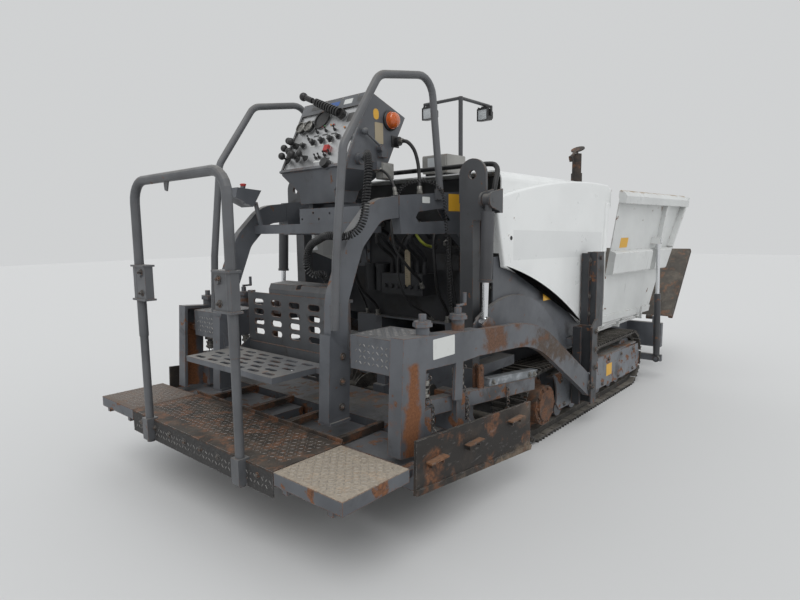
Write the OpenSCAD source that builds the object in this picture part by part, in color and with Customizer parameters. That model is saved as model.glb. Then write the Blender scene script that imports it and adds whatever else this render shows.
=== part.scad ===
// Small tracked asphalt paver with a hopper, a hydraulic extending screed and a rear stand.
// X runs forward, Y to the left, Z up. Left pieces are drawn and the right ones are mirrored.

/* [Tracks] */
// Distance between the centre planes of the two tracks
track_gauge = 1510; // [1400:10:1600]
// Width of a track shoe
shoe_w = 250; // [200:10:260]
// X of the drive sprocket
sprocket_x = -560; // [-620:10:-500]
// X of the front idler
idler_x = 1210; // [1100:10:1250]
// Height of the wheel centres above the ground, which is the outer radius of the track
track_r = 258; // [240:2:280]
// Height of a grouser on its shoe
grouser_h = 18; // [10:1:25]
// Thickness of the plate of a shoe
shoe_t = 10; // [6:1:14]
// Thickness of the link band under the shoes
band_t = 38; // [30:1:50]
// Width of the link band
band_w = 150; // [120:5:180]
// Number of shoes on each track
shoe_n = 38; // [30:1:44]
// Diameter of a bottom roller
roller_d = 128; // [100:2:140]
// Thickness of the cover plate on the track frame
cover_t = 10; // [6:1:12]

/* [Tractor] */
// Width over the two side boxes of the chassis
chassis_w = 1120; // [1000:10:1200]
// Height of the chassis underside
chassis_z = 330; // [300:5:360]
// Height of the chassis top, on which the hopper floor lies
frame_top = 540; // [530:2:560]
// Height of the deck over the conveyor tunnel
deck_z = 800; // [760:5:840]
// Height of the top of the outriggers over the tracks
outrigger_z = 640; // [620:5:660]
// Width of the conveyor tunnel
tunnel_w = 600; // [500:10:700]
// Thickness of plates that carry load
plate_t = 20; // [12:1:25]
// Thickness of sheet panels
sheet_t = 8; // [5:1:10]
// X of the bulkhead behind the engine
bulkhead_x = -850; // [-900:5:-820]
// Height of the hood
hood_z = 1800; // [1700:10:1850]
// Distance from the centre plane to the inner face of a side cover
cover_y = 850; // [830:5:860]
// Thickness of a side cover with its returned edge
cover_d = 30; // [20:1:36]
// Opening between the bores of two mating parts and their pins
pin_gap = 0.5; // [0.3:0.1:1]
// Gap between a part and the seat that it rests on
seat_gap = 0.3; // [0.2:0.1:0.5]

/* [Hopper] */
// X of the hopper's rear wall
hopper_x = 650; // [640:5:700]
// Height of the hopper floor
floor_z = 560; // [540:5:600]
// Distance from the centre plane to the hinge line of a wing
wing_y = 740; // [700:5:760]
// Height of the hinge line of a wing
wing_z = 610; // [600:5:640]
// Outward lean of a wing
wing_lean = 9; // [6:1:12]
// Outward flare of a wing to the front
wing_flare = 4; // [2:0.5:6]
// Height of a wing along its sheet
wing_h = 1150; // [1000:10:1200]
// Length of a wing at its rim
wing_l = 1450; // [1300:10:1500]
// Width of the front flap
flap_w = 1960; // [1800:10:2000]
// Length of the front flap from its hinge
flap_l = 915; // [850:5:930]
// Lean of the front flap from upright
flap_lean = 42; // [30:1:50]
// X of the front flap's hinge
flap_x = 2030; // [2000:5:2060]
// Height of the front flap's hinge
flap_z = 535; // [520:5:560]
// Diameter of a push roller
push_d = 150; // [120:5:170]

/* [Screed] */
// X of the tow point
tow_x = -50; // [-80:5:-20]
// Height of the tow point
tow_z = 300; // [280:5:320]
// Distance from the centre plane to the outer face of a tow arm
arm_y = 1000; // [980:5:1020]
// Thickness of a tow arm
arm_t = 40; // [30:1:50]
// Depth of a tow arm
arm_d = 140; // [120:5:160]
// Bend radius of a tow arm along its middle
arm_bend = 900; // [700:20:1000]
// Distance from the centre plane to the outer face of an end gate
gate_y = 1106; // [1090:2:1120]
// Thickness of an end gate
gate_t = 14; // [8:1:16]
// Height of the walkway's top
walk_z = 434; // [420:2:450]
// X of the walkway's rear edge
walk_x = -2635; // [-2660:5:-2600]
// Depth of the walkway from rear to front
walk_d = 413; // [380:1:430]
// Half width of the middle plate of the walkway
walk_mid = 670; // [600:10:700]
// Height of the rear rail's top
rail_z = 1725; // [1600:5:1800]
// Half distance between the posts of the rear rail
rail_y = 440; // [400:5:480]
// Diameter of the upper rail tube, which slides over the posts
rail_d = 48.3; // [42.4:0.1:60.3]
// Diameter of the lower posts
post_d = 42.4; // [33.7:0.1:44]
// Diameter of an auger
auger_d = 280; // [240:5:300]

/* [Operator stand] */
// Distance from the centre plane to the middle of a gooseneck
neck_y = 500; // [460:5:520]
// Thickness of a gooseneck
neck_t = 60; // [50:1:80]
// Depth of a gooseneck's beam
neck_d = 118; // [100:2:130]
// Half width of the operator's console
console_y = 290; // [250:5:320]
// Diameter of the side hand rails
hand_d = 42.4; // [33.7:0.1:48.3]
// Height of the step
step_z = 755; // [700:5:780]
// Half width of the step
step_y = 404; // [380:2:420]

/* [Hidden] */

$fn = 32;
eps = 0.01;
track_y = track_gauge / 2;
track_out = track_y + shoe_w / 2;
band_r = track_r - grouser_h - shoe_t;
inner_r = band_r - band_t;
chassis_front = flap_x - 40;
hopper_t = 10;
wing_x = hopper_x + hopper_t + 24;
flap_lugs = [-800, -30, 740];
wing_knuckles = [760, 1240, 1650];
guide_y = arm_y - 108;
lift_x = -1310;
lift_z = 1613;
lift_y = 910;
lift_foot_x = -1345;
lift_foot_z = 930;
lift_pin = 30;
lift_play = 4;
lift_len = norm([lift_foot_x - lift_x, lift_foot_z - lift_z]);
lift_tilt = atan2(lift_foot_x - lift_x, lift_foot_z - lift_z);
eye_y = lift_y - 120;
eye_z = lift_z + 147;
eye_plate_r = 90;
eye_d = 50;
wing_cyl_x = 1525;
wing_foot_y = 1000;
wing_foot_z = 215;
wing_eye_y = 975;
wing_eye_z = 1330;
wing_pin = 24;
wing_play = 8;
slot_gap = 3;
wing_cyl_len = norm([wing_eye_y - wing_foot_y, wing_eye_z - wing_foot_z]);
auger_x = -1180;
auger_z = 320;
sole_rear = [-2200, 292];
sole_front = [-1160, 186];
main_rear = -1850;
main_front = -1380;
main_top = 420;
slide_x = [-1800, -1730];
slide_z = 330;
arm_rear = -1520;
arm_rear_z = 858;
spindle_x = [-1955, -1665];
spindle_y = arm_y - 45;
notch_d = 24;
cover_arc_r = 3300;
cover_crown_r = 6350;
cover_edge = 12;
sleeve_t = 8;
panel_low = [-1790, 1813];
panel_high = [-1575, 2244];
panel_tilt = atan2(panel_high.x - panel_low.x, panel_high.y - panel_low.y);
panel_h = norm(panel_high - panel_low);
beacon_x = -1424;
beacon_z = 2104;
beacon_d = 100;
mast_x = -270;
mast_z = 2470;
bar_d = 26;
lamp_y = 300;
lamp_x = 80;
stack_x = 310;
stack_y = 700;
stack_z = 2030;
thick_d = 44;
thin_d = 24;
thick_gland = [-1690, 1858];
thick_end = [-1890, -200, 1160];
thick_route = [[thick_gland.x, -console_y - 24 - seat_gap, thick_gland.y], [-1690, -324, 1858], [-1690, -344, 1858], [-1722, -390, 1864], [-1790, -455, 1862],
  [-1865, -530, 1832], [-1912, -578, 1768], [-1935, -592, 1690], [-1950, -592, 1600], [-1966, -592, 1520],
  [-1998, -584, 1462], [-2040, -560, 1432], [-2063, -512, 1426], [-2065, -455, 1430], [-2050, -390, 1428],
  [-2028, -310, 1408], [-2008, -235, 1385], [-1998, -188, 1345], [-1995, -168, 1288], [-1985, -172, 1240],
  [-1950, -186, 1212], [-1912, -198, 1216], [-1890, -200, 1196], [-1890, -200, 1175], thick_end + [0, 0, seat_gap]];
thin_gland = [-1480, -400, 1630];
thin_end = [-1250, -678, 665];
thin_route = [thin_gland + [0, 0, seat_gap], [-1480, -400, 1644], [-1480, -400, 1668], [-1466, -430, 1712], [-1430, -500, 1736], [-1395, -570, 1728],
  [-1368, -620, 1690], [-1352, -640, 1630], [-1342, -640, 1540], [-1330, -640, 1440], [-1318, -640, 1334],
  [-1308, -640, 1230], [-1298, -640, 1120], [-1288, -640, 1000], [-1276, -644, 880], [-1262, -658, 780],
  [-1252, -674, 725], [-1250, -678, 700], [-1250, -678, 682], thin_end + [0, 0, seat_gap]];
paint_grey = [0.34, 0.36, 0.39];
paint_dark = [0.2, 0.21, 0.23];
paint_white = [0.88, 0.88, 0.86];
paint_rust = [0.5, 0.27, 0.14];
bare_steel = [0.75, 0.76, 0.78];

// Mirrors to the right side where side is -1
module on_side(side) {
  mirror([0, side < 0 ? 1 : 0, 0]) children();
}

// Box from one corner to the opposite one
module box(a, b) {
  translate(a) cube(b - a);
}

// Plate in the XZ plane from its outline, between two distances from the centre plane
module side_plate(outline, y0, y1) {
  translate([0, y1, 0]) rotate([90, 0, 0]) linear_extrude(y1 - y0) polygon(outline);
}

// Plate in the YZ plane from its outline, between two X values
module cross_plate(outline, x0, x1) {
  translate([x0, 0, 0]) rotate([90, 0, 90]) linear_extrude(x1 - x0) polygon(outline);
}

// Round bar along Y between two distances from the centre plane
module pin(x, z, d, y0, y1) {
  translate([x, y0, z]) rotate([-90, 0, 0]) cylinder(d = d, h = y1 - y0);
}

// Round bar between any two points
module rod(a, b, d) {
  v = b - a;
  translate(a) rotate([0, acos(v.z / norm(v)), atan2(v.y, v.x)]) cylinder(d = d, h = norm(v));
}

// Points of an arc about a centre, from one angle to another
function arc(c, r, a0, a1, n = 8) = [for (i = [0 : n]) c + r * [cos(a0 + (a1 - a0) * i / n), sin(a0 + (a1 - a0) * i / n)]];

function unit(v) = v / norm(v);
function heading(v) = atan2(v.y, v.x);
function turn(p, i) = i == 0 || i == len(p) - 1 ? 0
  : let (a = unit(p[i] - p[i - 1]), b = unit(p[i + 1] - p[i])) atan2(cross(a, b), a * b);
function trim(p, i, r) = r * tan(abs(turn(p, i)) / 2);

// Points of a path whose corners are rounded to one radius
function smooth(p, r, n = 6) = [for (i = [0 : len(p) - 1])
  let (t = turn(p, i))
  each abs(t) < 0.1 ? [p[i]]
    : let (u = unit(p[i] - p[i - 1]), a = p[i] - u * trim(p, i, r), c = a + sign(t) * r * [-u.y, u.x])
      arc(c, r, heading(a - c), heading(a - c) + t, n)];

// Normal of a path at one of its points, lengthened to keep the width in a bend
function mitre(q, i) =
  let (u = unit(q[min(i + 1, len(q) - 1)] - q[min(i, len(q) - 2)]), v = unit(q[max(i, 1)] - q[max(i - 1, 0)]), w = unit(u + v))
  [-w.y, w.x] / (w * u);

// Outline of a band of one width along a path with round bends
function band(p, r, w) =
  let (q = smooth(p, r), n = len(q) - 1)
  concat([for (i = [0 : n]) q[i] + mitre(q, i) * w / 2], [for (i = [n : -1 : 0]) q[i] - mitre(q, i) * w / 2]);

// Faces of a run of rings, with a cap at each end
function ring_faces(rings, sides) = concat(
  [[for (k = [0 : sides - 1]) k]],
  [for (i = [0 : rings - 2], k = [0 : sides - 1])
    [i * sides + k, (i + 1) * sides + k, (i + 1) * sides + (k + 1) % sides, i * sides + (k + 1) % sides]],
  [[for (k = [sides - 1 : -1 : 0]) (rings - 1) * sides + k]]);

// Round tube swept in the XY plane along a path with round bends
module tube(p, r, d, n = 6, sides = 16) {
  q = smooth(p, r, n);
  rings = len(q);
  points = [for (i = [0 : rings - 1], k = [0 : sides - 1])
    let (m = mitre(q, i) * d / 2 * cos(k * 360 / sides)) [q[i].x + m.x, q[i].y + m.y, d / 2 * sin(k * 360 / sides)]];
  polyhedron(points, ring_faces(rings, sides), convexity = 6);
}

// The same tube in the XZ plane at a distance from the centre plane
module tube_side(p, r, d, y) {
  translate([0, y, 0]) rotate([90, 0, 0]) tube(p, r, d);
}

// Smooth curve through given points, with a few steps between each two
function knot(p, i) = p[max(0, min(len(p) - 1, i))];
function between(a, b, c, d, t) =
  0.5 * (2 * b + (c - a) * t + (2 * a - 5 * b + 4 * c - d) * t * t + (3 * b - a - 3 * c + d) * t * t * t);
function curve(p, n) = concat(
  [for (i = [0 : len(p) - 2], k = [0 : n - 1]) between(knot(p, i - 1), p[i], p[i + 1], knot(p, i + 2), k / n)],
  [p[len(p) - 1]]);
function tangent(q, i) = unit(q[min(i + 1, len(q) - 1)] - q[max(i - 1, 0)]);
function carried(q, i) =
  let (t = tangent(q, i), n = i == 0 ? cross(t, abs(t.z) < 0.9 ? [0, 0, 1] : [1, 0, 0]) : carried(q, i - 1))
  unit(n - t * (n * t));

// Hose through given points
module hose(p, d, n = 3, sides = 8) {
  q = curve(p, n);
  points = [for (i = [0 : len(q) - 1])
    let (t = tangent(q, i), u = carried(q, i), v = cross(t, u))
      for (k = [0 : sides - 1]) q[i] + d / 2 * (u * cos(k * 360 / sides) + v * sin(k * 360 / sides))];
  polyhedron(points, ring_faces(len(q), sides), convexity = 6);
}

// Points of an arc between two points that bulges to one side
function bow(a, b, r, bulge, n) =
  let (mid = (a + b) / 2, away = unit([b.y - a.y, a.x - b.x]), depth = sqrt(r * r - pow(norm(b - a) / 2, 2)),
    c = mid - bulge * away * depth, a0 = heading(a - c), a1 = heading(b - c), turned = (a1 - a0 + 540) % 360 - 180)
  arc(c, r, a0, a0 + turned, n);

// Anticlockwise outline moved inwards by a distance
function shrunk(p, d) = [for (i = [0 : len(p) - 1])
  let (a = p[(i + len(p) - 1) % len(p)], b = p[i], c = p[(i + 1) % len(p)], u = unit(b - a), v = unit(c - b), w = unit(u + v))
    b + [-w.y, w.x] / (w * u) * d];

// Plate in the XZ plane with a rounded outer edge, between two distances from the centre plane
module pillow_plate(outline, y0, y1, edge, steps = 3) {
  n = len(outline);
  rings = concat([[y0, 0]], [for (i = [0 : steps]) [y1 - edge + edge * sin(90 * i / steps), edge * (1 - cos(90 * i / steps))]]);
  points = [for (r = rings) let (q = shrunk(outline, r[1])) for (k = [0 : n - 1]) [q[k].x, r[0], q[k].y]];
  faces = concat(
    [[for (k = [n - 1 : -1 : 0]) k]],
    [for (i = [0 : len(rings) - 2], k = [0 : n - 1]) [i * n + k, i * n + (k + 1) % n, (i + 1) * n + (k + 1) % n, (i + 1) * n + k]],
    [[for (k = [0 : n - 1]) (len(rings) - 1) * n + k]]);
  polyhedron(points, faces, convexity = 4);
}

// Slot with round ends in the XY plane, its length along Y
module slot_2d(length, width) {
  square([width, length - width], center = true);
  for (s = [-1, 1]) translate([0, s * (length - width) / 2]) circle(d = width, $fn = 16);
}

// Stadium outline round the sprocket and the idler
module loop_2d(r) {
  translate([sprocket_x, track_r]) circle(r = r, $fn = 48);
  translate([idler_x, track_r]) circle(r = r, $fn = 48);
  translate([sprocket_x, track_r - r]) square([idler_x - sprocket_x, 2 * r]);
}

// Place and heading of a point along the loop of the track, as x, z and angle
function loop_len(r) = 2 * (idler_x - sprocket_x) + 2 * PI * r;
function loop_at(s, r) =
  let (run = idler_x - sprocket_x, bow = PI * r)
  s < run ? [idler_x - s, track_r - r, 180]
  : s < run + bow ? let (a = -90 - (s - run) / bow * 180) [sprocket_x + r * cos(a), track_r + r * sin(a), a - 90]
  : s < 2 * run + bow ? [sprocket_x + s - run - bow, track_r + r, 0]
  : let (a = 90 - (s - 2 * run - bow) / bow * 180) [idler_x + r * cos(a), track_r + r * sin(a), a - 90];

module shoe_2d(pitch) {
  translate([-pitch / 2 + 5, 0]) square([pitch - 10, shoe_t]);
  for (x = [-pitch * 0.32, 0, pitch * 0.32])
    translate([x - 5, 0]) square([10, shoe_t + grouser_h]);
}

module track(side) {
  pitch = loop_len(band_r) / shoe_n;
  color(paint_dark) on_side(side) {
    translate([0, track_y + band_w / 2, 0]) rotate([90, 0, 0]) linear_extrude(band_w) difference() {
      loop_2d(band_r + eps);
      loop_2d(inner_r);
    }
    for (i = [0 : shoe_n - 1]) {
      at = loop_at((i + 0.5) * pitch, band_r);
      translate([at[0], track_out, at[1]]) rotate([90, 0, 0]) rotate([0, 0, at[2]])
        linear_extrude(shoe_w) shoe_2d(pitch);
    }
  }
}

// Side frame of a track with its rollers, idler and cover plate
module track_frame(side) {
  frame_z = track_r - inner_r + roller_d * 0.6;
  color(paint_grey) on_side(side) {
    box([-250, track_y - 55, frame_z], [idler_x - 120, track_y + 55, 400]);
    for (x = [-180, 70, 320, 570, 820, 1000])
      pin(x, track_r - inner_r + roller_d / 2 + seat_gap, roller_d, track_y - 60, track_y + 60);
    pin(idler_x, track_r, 2 * inner_r - 2 * seat_gap, track_y - 45, track_y + 45);
    pin(idler_x, track_r, 90, track_y - 60, track_y + 80);
    box([idler_x - 130, track_y - 20, track_r - 40], [idler_x, track_y + 20, track_r + 40]);
    side_plate(concat(
      [[-280, 150], [1330, 128]],
      arc([1330, 228], 100, -90, 20, 6),
      [[1385, 372], [-380, 425]],
      arc([sprocket_x, track_r], 240, 41, -14, 6)), track_out - 18, track_out - 18 + cover_t);
    box([-340, track_y + 40, 385], [1340, track_out - 12, 397]);
    for (x = [100, 820]) box([x, chassis_w / 2 + seat_gap, 340], [x + 160, track_y - 50, 395]);
  }
}

// Drive sprocket with its gear case
module sprocket(side) {
  tooth_n = 14;
  color(paint_rust) on_side(side) {
    translate([sprocket_x, track_y + 30, track_r]) rotate([90, 0, 0]) linear_extrude(60) difference() {
      circle(r = inner_r - seat_gap, $fn = 48);
      for (i = [0 : tooth_n - 1]) rotate(i * 360 / tooth_n) translate([inner_r + 4, 0]) circle(r = 20, $fn = 16);
    }
    pin(sprocket_x, track_r, 270, track_y - 70, track_out + 20);
    pin(sprocket_x, track_r, 210, track_out + 19, track_out + 34);
    for (i = [0 : 9]) {
      a = i * 36;
      pin(sprocket_x + 118 * cos(a), track_r + 118 * sin(a), 20, track_out + 19, track_out + 30);
    }
    pin(sprocket_x, track_r, 200, chassis_w / 2 + seat_gap, track_y - 69);
  }
}

module chassis() {
  half = chassis_w / 2;
  rear = bulkhead_x - 40;
  color(paint_grey) {
    for (s = [-1, 1]) on_side(s) {
      difference() {
        box([rear, tunnel_w / 2, chassis_z], [chassis_front, half, frame_top]);
        for (x = [-560, 30, 620, 1210])
          box([x, tunnel_w / 2 + plate_t, chassis_z - 1], [x + 480, half - plate_t, frame_top - 30]);
      }
      // Side of the conveyor tunnel
      box([rear, tunnel_w / 2, frame_top - 1], [hopper_x - 30, half, deck_z]);
      // Outrigger over the track that carries the tow guide
      box([tow_x - 60, half - 1, outrigger_z - 50], [tow_x + 60, guide_y - seat_gap, outrigger_z + 5]);
      // Outrigger behind the track that carries the lift column
      box([rear, half - 1, outrigger_z - 60], [bulkhead_x + 40, 800, outrigger_z]);
      box([lift_x + 10, 700, outrigger_z - 60], [bulkhead_x + 40, 800, outrigger_z]);
      // Arm in front of the track that carries the foot of the wing's cylinder
      box([wing_cyl_x + 33, half - 30, wing_foot_z - 30], [wing_cyl_x + 73, half + 30, chassis_z + 60]);
      box([wing_cyl_x + 33, half - 30, wing_foot_z - 30], [wing_cyl_x + 73, wing_foot_y + 32, wing_foot_z + 30]);
      translate([wing_cyl_x - 22, wing_foot_y, wing_foot_z]) rotate([0, 90, 0]) cylinder(d = 30, h = 60);
    }
    box([rear, -tunnel_w / 2 - 1, frame_top - plate_t], [chassis_front, tunnel_w / 2 + 1, frame_top]);
    // Cross plate at the rear that carries the auger
    box([rear, -tunnel_w / 2 - 1, chassis_z], [rear + plate_t, tunnel_w / 2 + 1, frame_top - 1]);
    box([rear, -half, deck_z - 1], [hopper_x - 30, half, deck_z + 12]);
    // Gland of the thin cable on the right outrigger
    box([thin_end.x - 25, -701, outrigger_z - 40], [thin_end.x + 25, -654, outrigger_z + 10]);
    rod([thin_end.x, thin_end.y, outrigger_z + 9], thin_end, 36);
  }
}

module engine_block() {
  color(paint_dark) {
    box([-620, -330, deck_z + 12 + seat_gap], [330, 330, 1420]);
    box([-500, -260, 1419], [200, 260, 1560]);
    rod([330, 0, 1100], [430, 0, 1100], 560);
  }
}

// Bulkhead with the valve bank, filters and hoses that hang under the console
module bulkhead() {
  top = hood_z - sheet_t - seat_gap;
  face = bulkhead_x + 1;
  // Columns: distance from the centre plane, height of each end, how far it sags to the rear
  loops = [[-150, 1205, 1420, 250], [-90, 1205, 1380, 210], [-30, 1205, 1450, 280], [30, 1205, 1400, 230], [90, 1205, 1460, 270], [150, 1205, 1390, 220]];
  color(paint_grey) {
    box([bulkhead_x, -cover_y + 70, deck_z + 12 + seat_gap], [bulkhead_x + plate_t, cover_y - 70, top]);
    box([bulkhead_x + plate_t - 1, -520, deck_z + 12 + seat_gap], [bulkhead_x + 200, 520, 1500]);
    // Valve bank on its bracket, with a row of spool caps
    box([face - 150, -190, 1000], [face, 190, 1150]);
    for (y = [-150 : 60 : 150]) {
      rod([face - 76, y, 1149], [face - 76, y, 1206], 34);
      rod([face - 172, y, 1060], [face - 149, y, 1060], 30);
    }
    // Filters and a tank to the left of it
    for (y = [260, 370]) {
      rod([face - 70, y, 1010], [face - 70, y, 1190], 90);
      rod([face - 70, y, 1189], [face - 70, y, 1212], 104);
      box([face - 70, y - 20, 1195], [face, y + 20, 1210]);
    }
    box([face - 60, -430, 1180], [face, -230, 1290]);
  }
  color(paint_dark) for (h = loops)
    hose([[face - 76, h[0], h[1] - 6], [face - 80, h[0], h[1] + 60], [face - h[3], h[0] * 1.1, h[2] - 20],
      [face - h[3] * 0.7, h[0] * 1.4, h[2] + 70], [face - 60, h[0] * 1.6, h[2] + 60], [face - 6, h[0] * 1.6, h[2] + 20]], 26, 3);
}

module hood() {
  rear = -1070;
  front = hopper_x - seat_gap;
  side = cover_y - seat_gap;
  bend = 60;
  color(paint_white) {
    difference() {
      cross_plate(concat(
        [[-side, hood_z - 180]],
        arc([-side + bend, hood_z - bend], bend, 180, 90, 6),
        arc([side - bend, hood_z - bend], bend, 90, 0, 6),
        [[side, hood_z - 180]]), rear, front);
      cross_plate(concat(
        [[-side + sheet_t, hood_z - 181]],
        arc([-side + bend, hood_z - bend], bend - sheet_t, 180, 90, 6),
        arc([side - bend, hood_z - bend], bend - sheet_t, 90, 0, 6),
        [[side - sheet_t, hood_z - 181]]), rear - 1, front - sheet_t);
    }
    // Front wall of the engine bay
    box([front - sheet_t, -cover_y + 30, deck_z + 12 + seat_gap], [front, cover_y - 30, hood_z - 90]);
    box([300, -500, hood_z - 1], [560, 500, hood_z + 40]);
  }
}

// Bulged side cover with an arched crown, a returned rear edge and a raised strip at its front
module side_cover(side) {
  color(paint_white) on_side(side) {
    low = [-1074, 1226];
    tip = [57, 733];
    crown = [[-1120, 1645], [470, 1790]];
    outline = concat(
      bow(low, tip, cover_arc_r, -1, 12),
      [[430, 722]],
      arc([497, 1738], 52, 0, 80, 5),
      bow(crown[1], crown[0], cover_crown_r, 1, 10),
      arc([-1150, 1614], 32, 100, 165, 4));
    pillow_plate(outline, cover_y, cover_y + cover_d, cover_edge);
    side_plate([[-1171, 1600], [-1161, 1600], [-1083, 1310], [-1093, 1310]], cover_y - 70, cover_y + 2);
    pillow_plate([[420, 1262], [478, 1262], [520, 1648], [455, 1648]], cover_y + 2, cover_y + cover_d + 14, 10);
  }
}

module fender(side) {
  centre = [-950, 280];
  color(paint_grey) on_side(side) {
    side_plate(concat(
      arc(centre, 768, 120, 29, 14),
      arc(centre, 570, 29, 120, 12)), cover_y - 12, cover_y + 16);
    difference() {
      side_plate([[-1140, 900], [-300, 560], [440, 560], [440, 640], [-140, 950], [-1080, 1290], [-1140, 1290]], cover_y - 20, cover_y - 11);
      box([tow_x - 60 - slot_gap, cover_y - 21, outrigger_z - 50 - slot_gap], [tow_x + 60 + slot_gap, cover_y - 10, outrigger_z + 5 + slot_gap]);
    }
    for (x = [-300, 300]) box([x, chassis_w / 2 + seat_gap, outrigger_z - 60], [x + 100, cover_y - 19, outrigger_z - 40]);
  }
}

// Column that hangs the screed's lift cylinder
module lift_column(side) {
  color(paint_grey) on_side(side) {
    box([lift_x + 20, 705, outrigger_z + seat_gap], [lift_x + 95, 795, lift_z - 50]);
    box([lift_x + 20, 705, lift_z - 110], [lift_x + 95, lift_y - 40, lift_z + 30]);
    // Arched plate with the lifting eye
    difference() {
      cross_plate(concat([[eye_y - eye_plate_r, lift_z - 10], [eye_y + eye_plate_r, lift_z - 10]],
        arc([eye_y, eye_z], eye_plate_r, 0, 180, 12)), lift_x + 20, lift_x + 40);
      rod([lift_x + 19, eye_y, eye_z], [lift_x + 41, eye_y, eye_z], eye_d);
    }
    for (y = [lift_y - 36, lift_y + 24])
      side_plate(concat([[lift_x + 94, lift_z - 70], [lift_x + 94, lift_z + 65]], arc([lift_x, lift_z], 45, 90, 270, 10)), y, y + 12);
    box([lift_x + 60, lift_y - 60, lift_z - 70], [lift_x + 94, lift_y + 36, lift_z + 30]);
    pin(lift_x, lift_z, lift_pin, lift_y - 37, lift_y + 37);
  }
}

module lift_cylinder(side) {
  color(paint_dark) on_side(side) lift_frame() difference() {
    union() {
      rotate([90, 0, 0]) cylinder(d = 70, h = 44, center = true);
      translate([0, 0, -70]) cylinder(d = 42, h = 50);
      translate([0, 0, -440]) cylinder(d = 72, h = 376);
      translate([0, 0, -455]) cylinder(d = 80, h = 16);
    }
    rotate([90, 0, 0]) cylinder(d = lift_pin + pin_gap, h = 60, center = true);
    translate([0, 0, -456]) cylinder(d = 36 + pin_gap, h = 400);
  }
}

module lift_frame() {
  translate([lift_x, lift_y, lift_z]) rotate([0, lift_tilt + 180, 0]) children();
}

module lift_rod(side) {
  color(bare_steel) on_side(side) lift_frame() {
    translate([0, 0, -lift_len + 28]) cylinder(d = 36, h = 362);
    difference() {
      translate([0, 0, -lift_len]) rotate([90, 0, 0]) cylinder(d = 64, h = 40, center = true);
      translate([0, 0, -lift_len]) rotate([90, 0, 0]) cylinder(d = lift_pin + 2 * lift_play, h = 60, center = true);
    }
  }
}

// Guide of the tow point: two rails, the tow block, and the shield of the levelling cylinder with its scale
module tow_guide(side) {
  out_y = arm_y - arm_t - 8;
  shield = [tow_x + 74, tow_x + 206];
  color(paint_grey) on_side(side) {
    // Back plate and the two rails with the slot of the tow block between them
    box([tow_x - 75, guide_y, 165], [tow_x + 75, guide_y + 14, 740]);
    box([tow_x - 75, guide_y, 165], [tow_x - 50, out_y, 740]);
    box([tow_x + 50, guide_y, 165], [tow_x + 75, out_y, 1270]);
    // Outer strap that keeps the arm on its pin
    box([tow_x + 28, guide_y + 13, 165], [tow_x + 75, arm_y + 18, 225]);
    box([tow_x + 28, guide_y + 13, 390], [tow_x + 75, arm_y + 18, 740]);
    box([tow_x - 20, arm_y + 6, 165], [tow_x + 75, arm_y + 18, 740]);
    side_plate([[tow_x - 30, 735], [tow_x + 75, 735], [tow_x + 75, 790], [tow_x + 40, 790]], arm_y + 6, arm_y + 18);
    // Tow block and its pin
    box([tow_x - 49, guide_y + 13, tow_z - 60], [tow_x + 49, out_y, tow_z + 60]);
    pin(tow_x, tow_z, 40, out_y - 1, arm_y + 7);
  }
  color(paint_dark) on_side(side) {
    // Shield with its bent sides, clevis of the levelling cylinder and its pin
    difference() {
      box([shield[0], arm_y - 74, 720], [shield[1], arm_y, 1278]);
      box([shield[0] + 8, arm_y - 75, 719], [shield[1] - 8, arm_y - 8, 1200]);
    }
    rod([tow_x + 140, arm_y - 41, 700], [tow_x + 140, arm_y - 41, 1201], 64);
    rod([tow_x + 140, arm_y - 1, 1235], [tow_x + 140, arm_y + 12, 1235], 30);
    box([shield[0], arm_y - 60, 450], [tow_x + 175, arm_y - 10, 500]);
    // Toothed scale along the front of the shield
    box([shield[1] - 1, arm_y - 56, 760], [shield[1] + 8, arm_y - 24, 1216]);
    for (z = [770 : 26 : 1190]) box([shield[1] + 7, arm_y - 52, z], [shield[1] + 16, arm_y - 28, z + 13]);
  }
  color(bare_steel) on_side(side) rod([tow_x + 140, arm_y - 41, 480], [tow_x + 140, arm_y - 41, 701], 32);
}

// Frame of the left wing: origin on the hinge line, X along the sheet, Z up the sheet
module wing_frame() {
  translate([wing_x, wing_y, wing_z]) rotate([-wing_lean, 0, wing_flare]) children();
}

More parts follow.
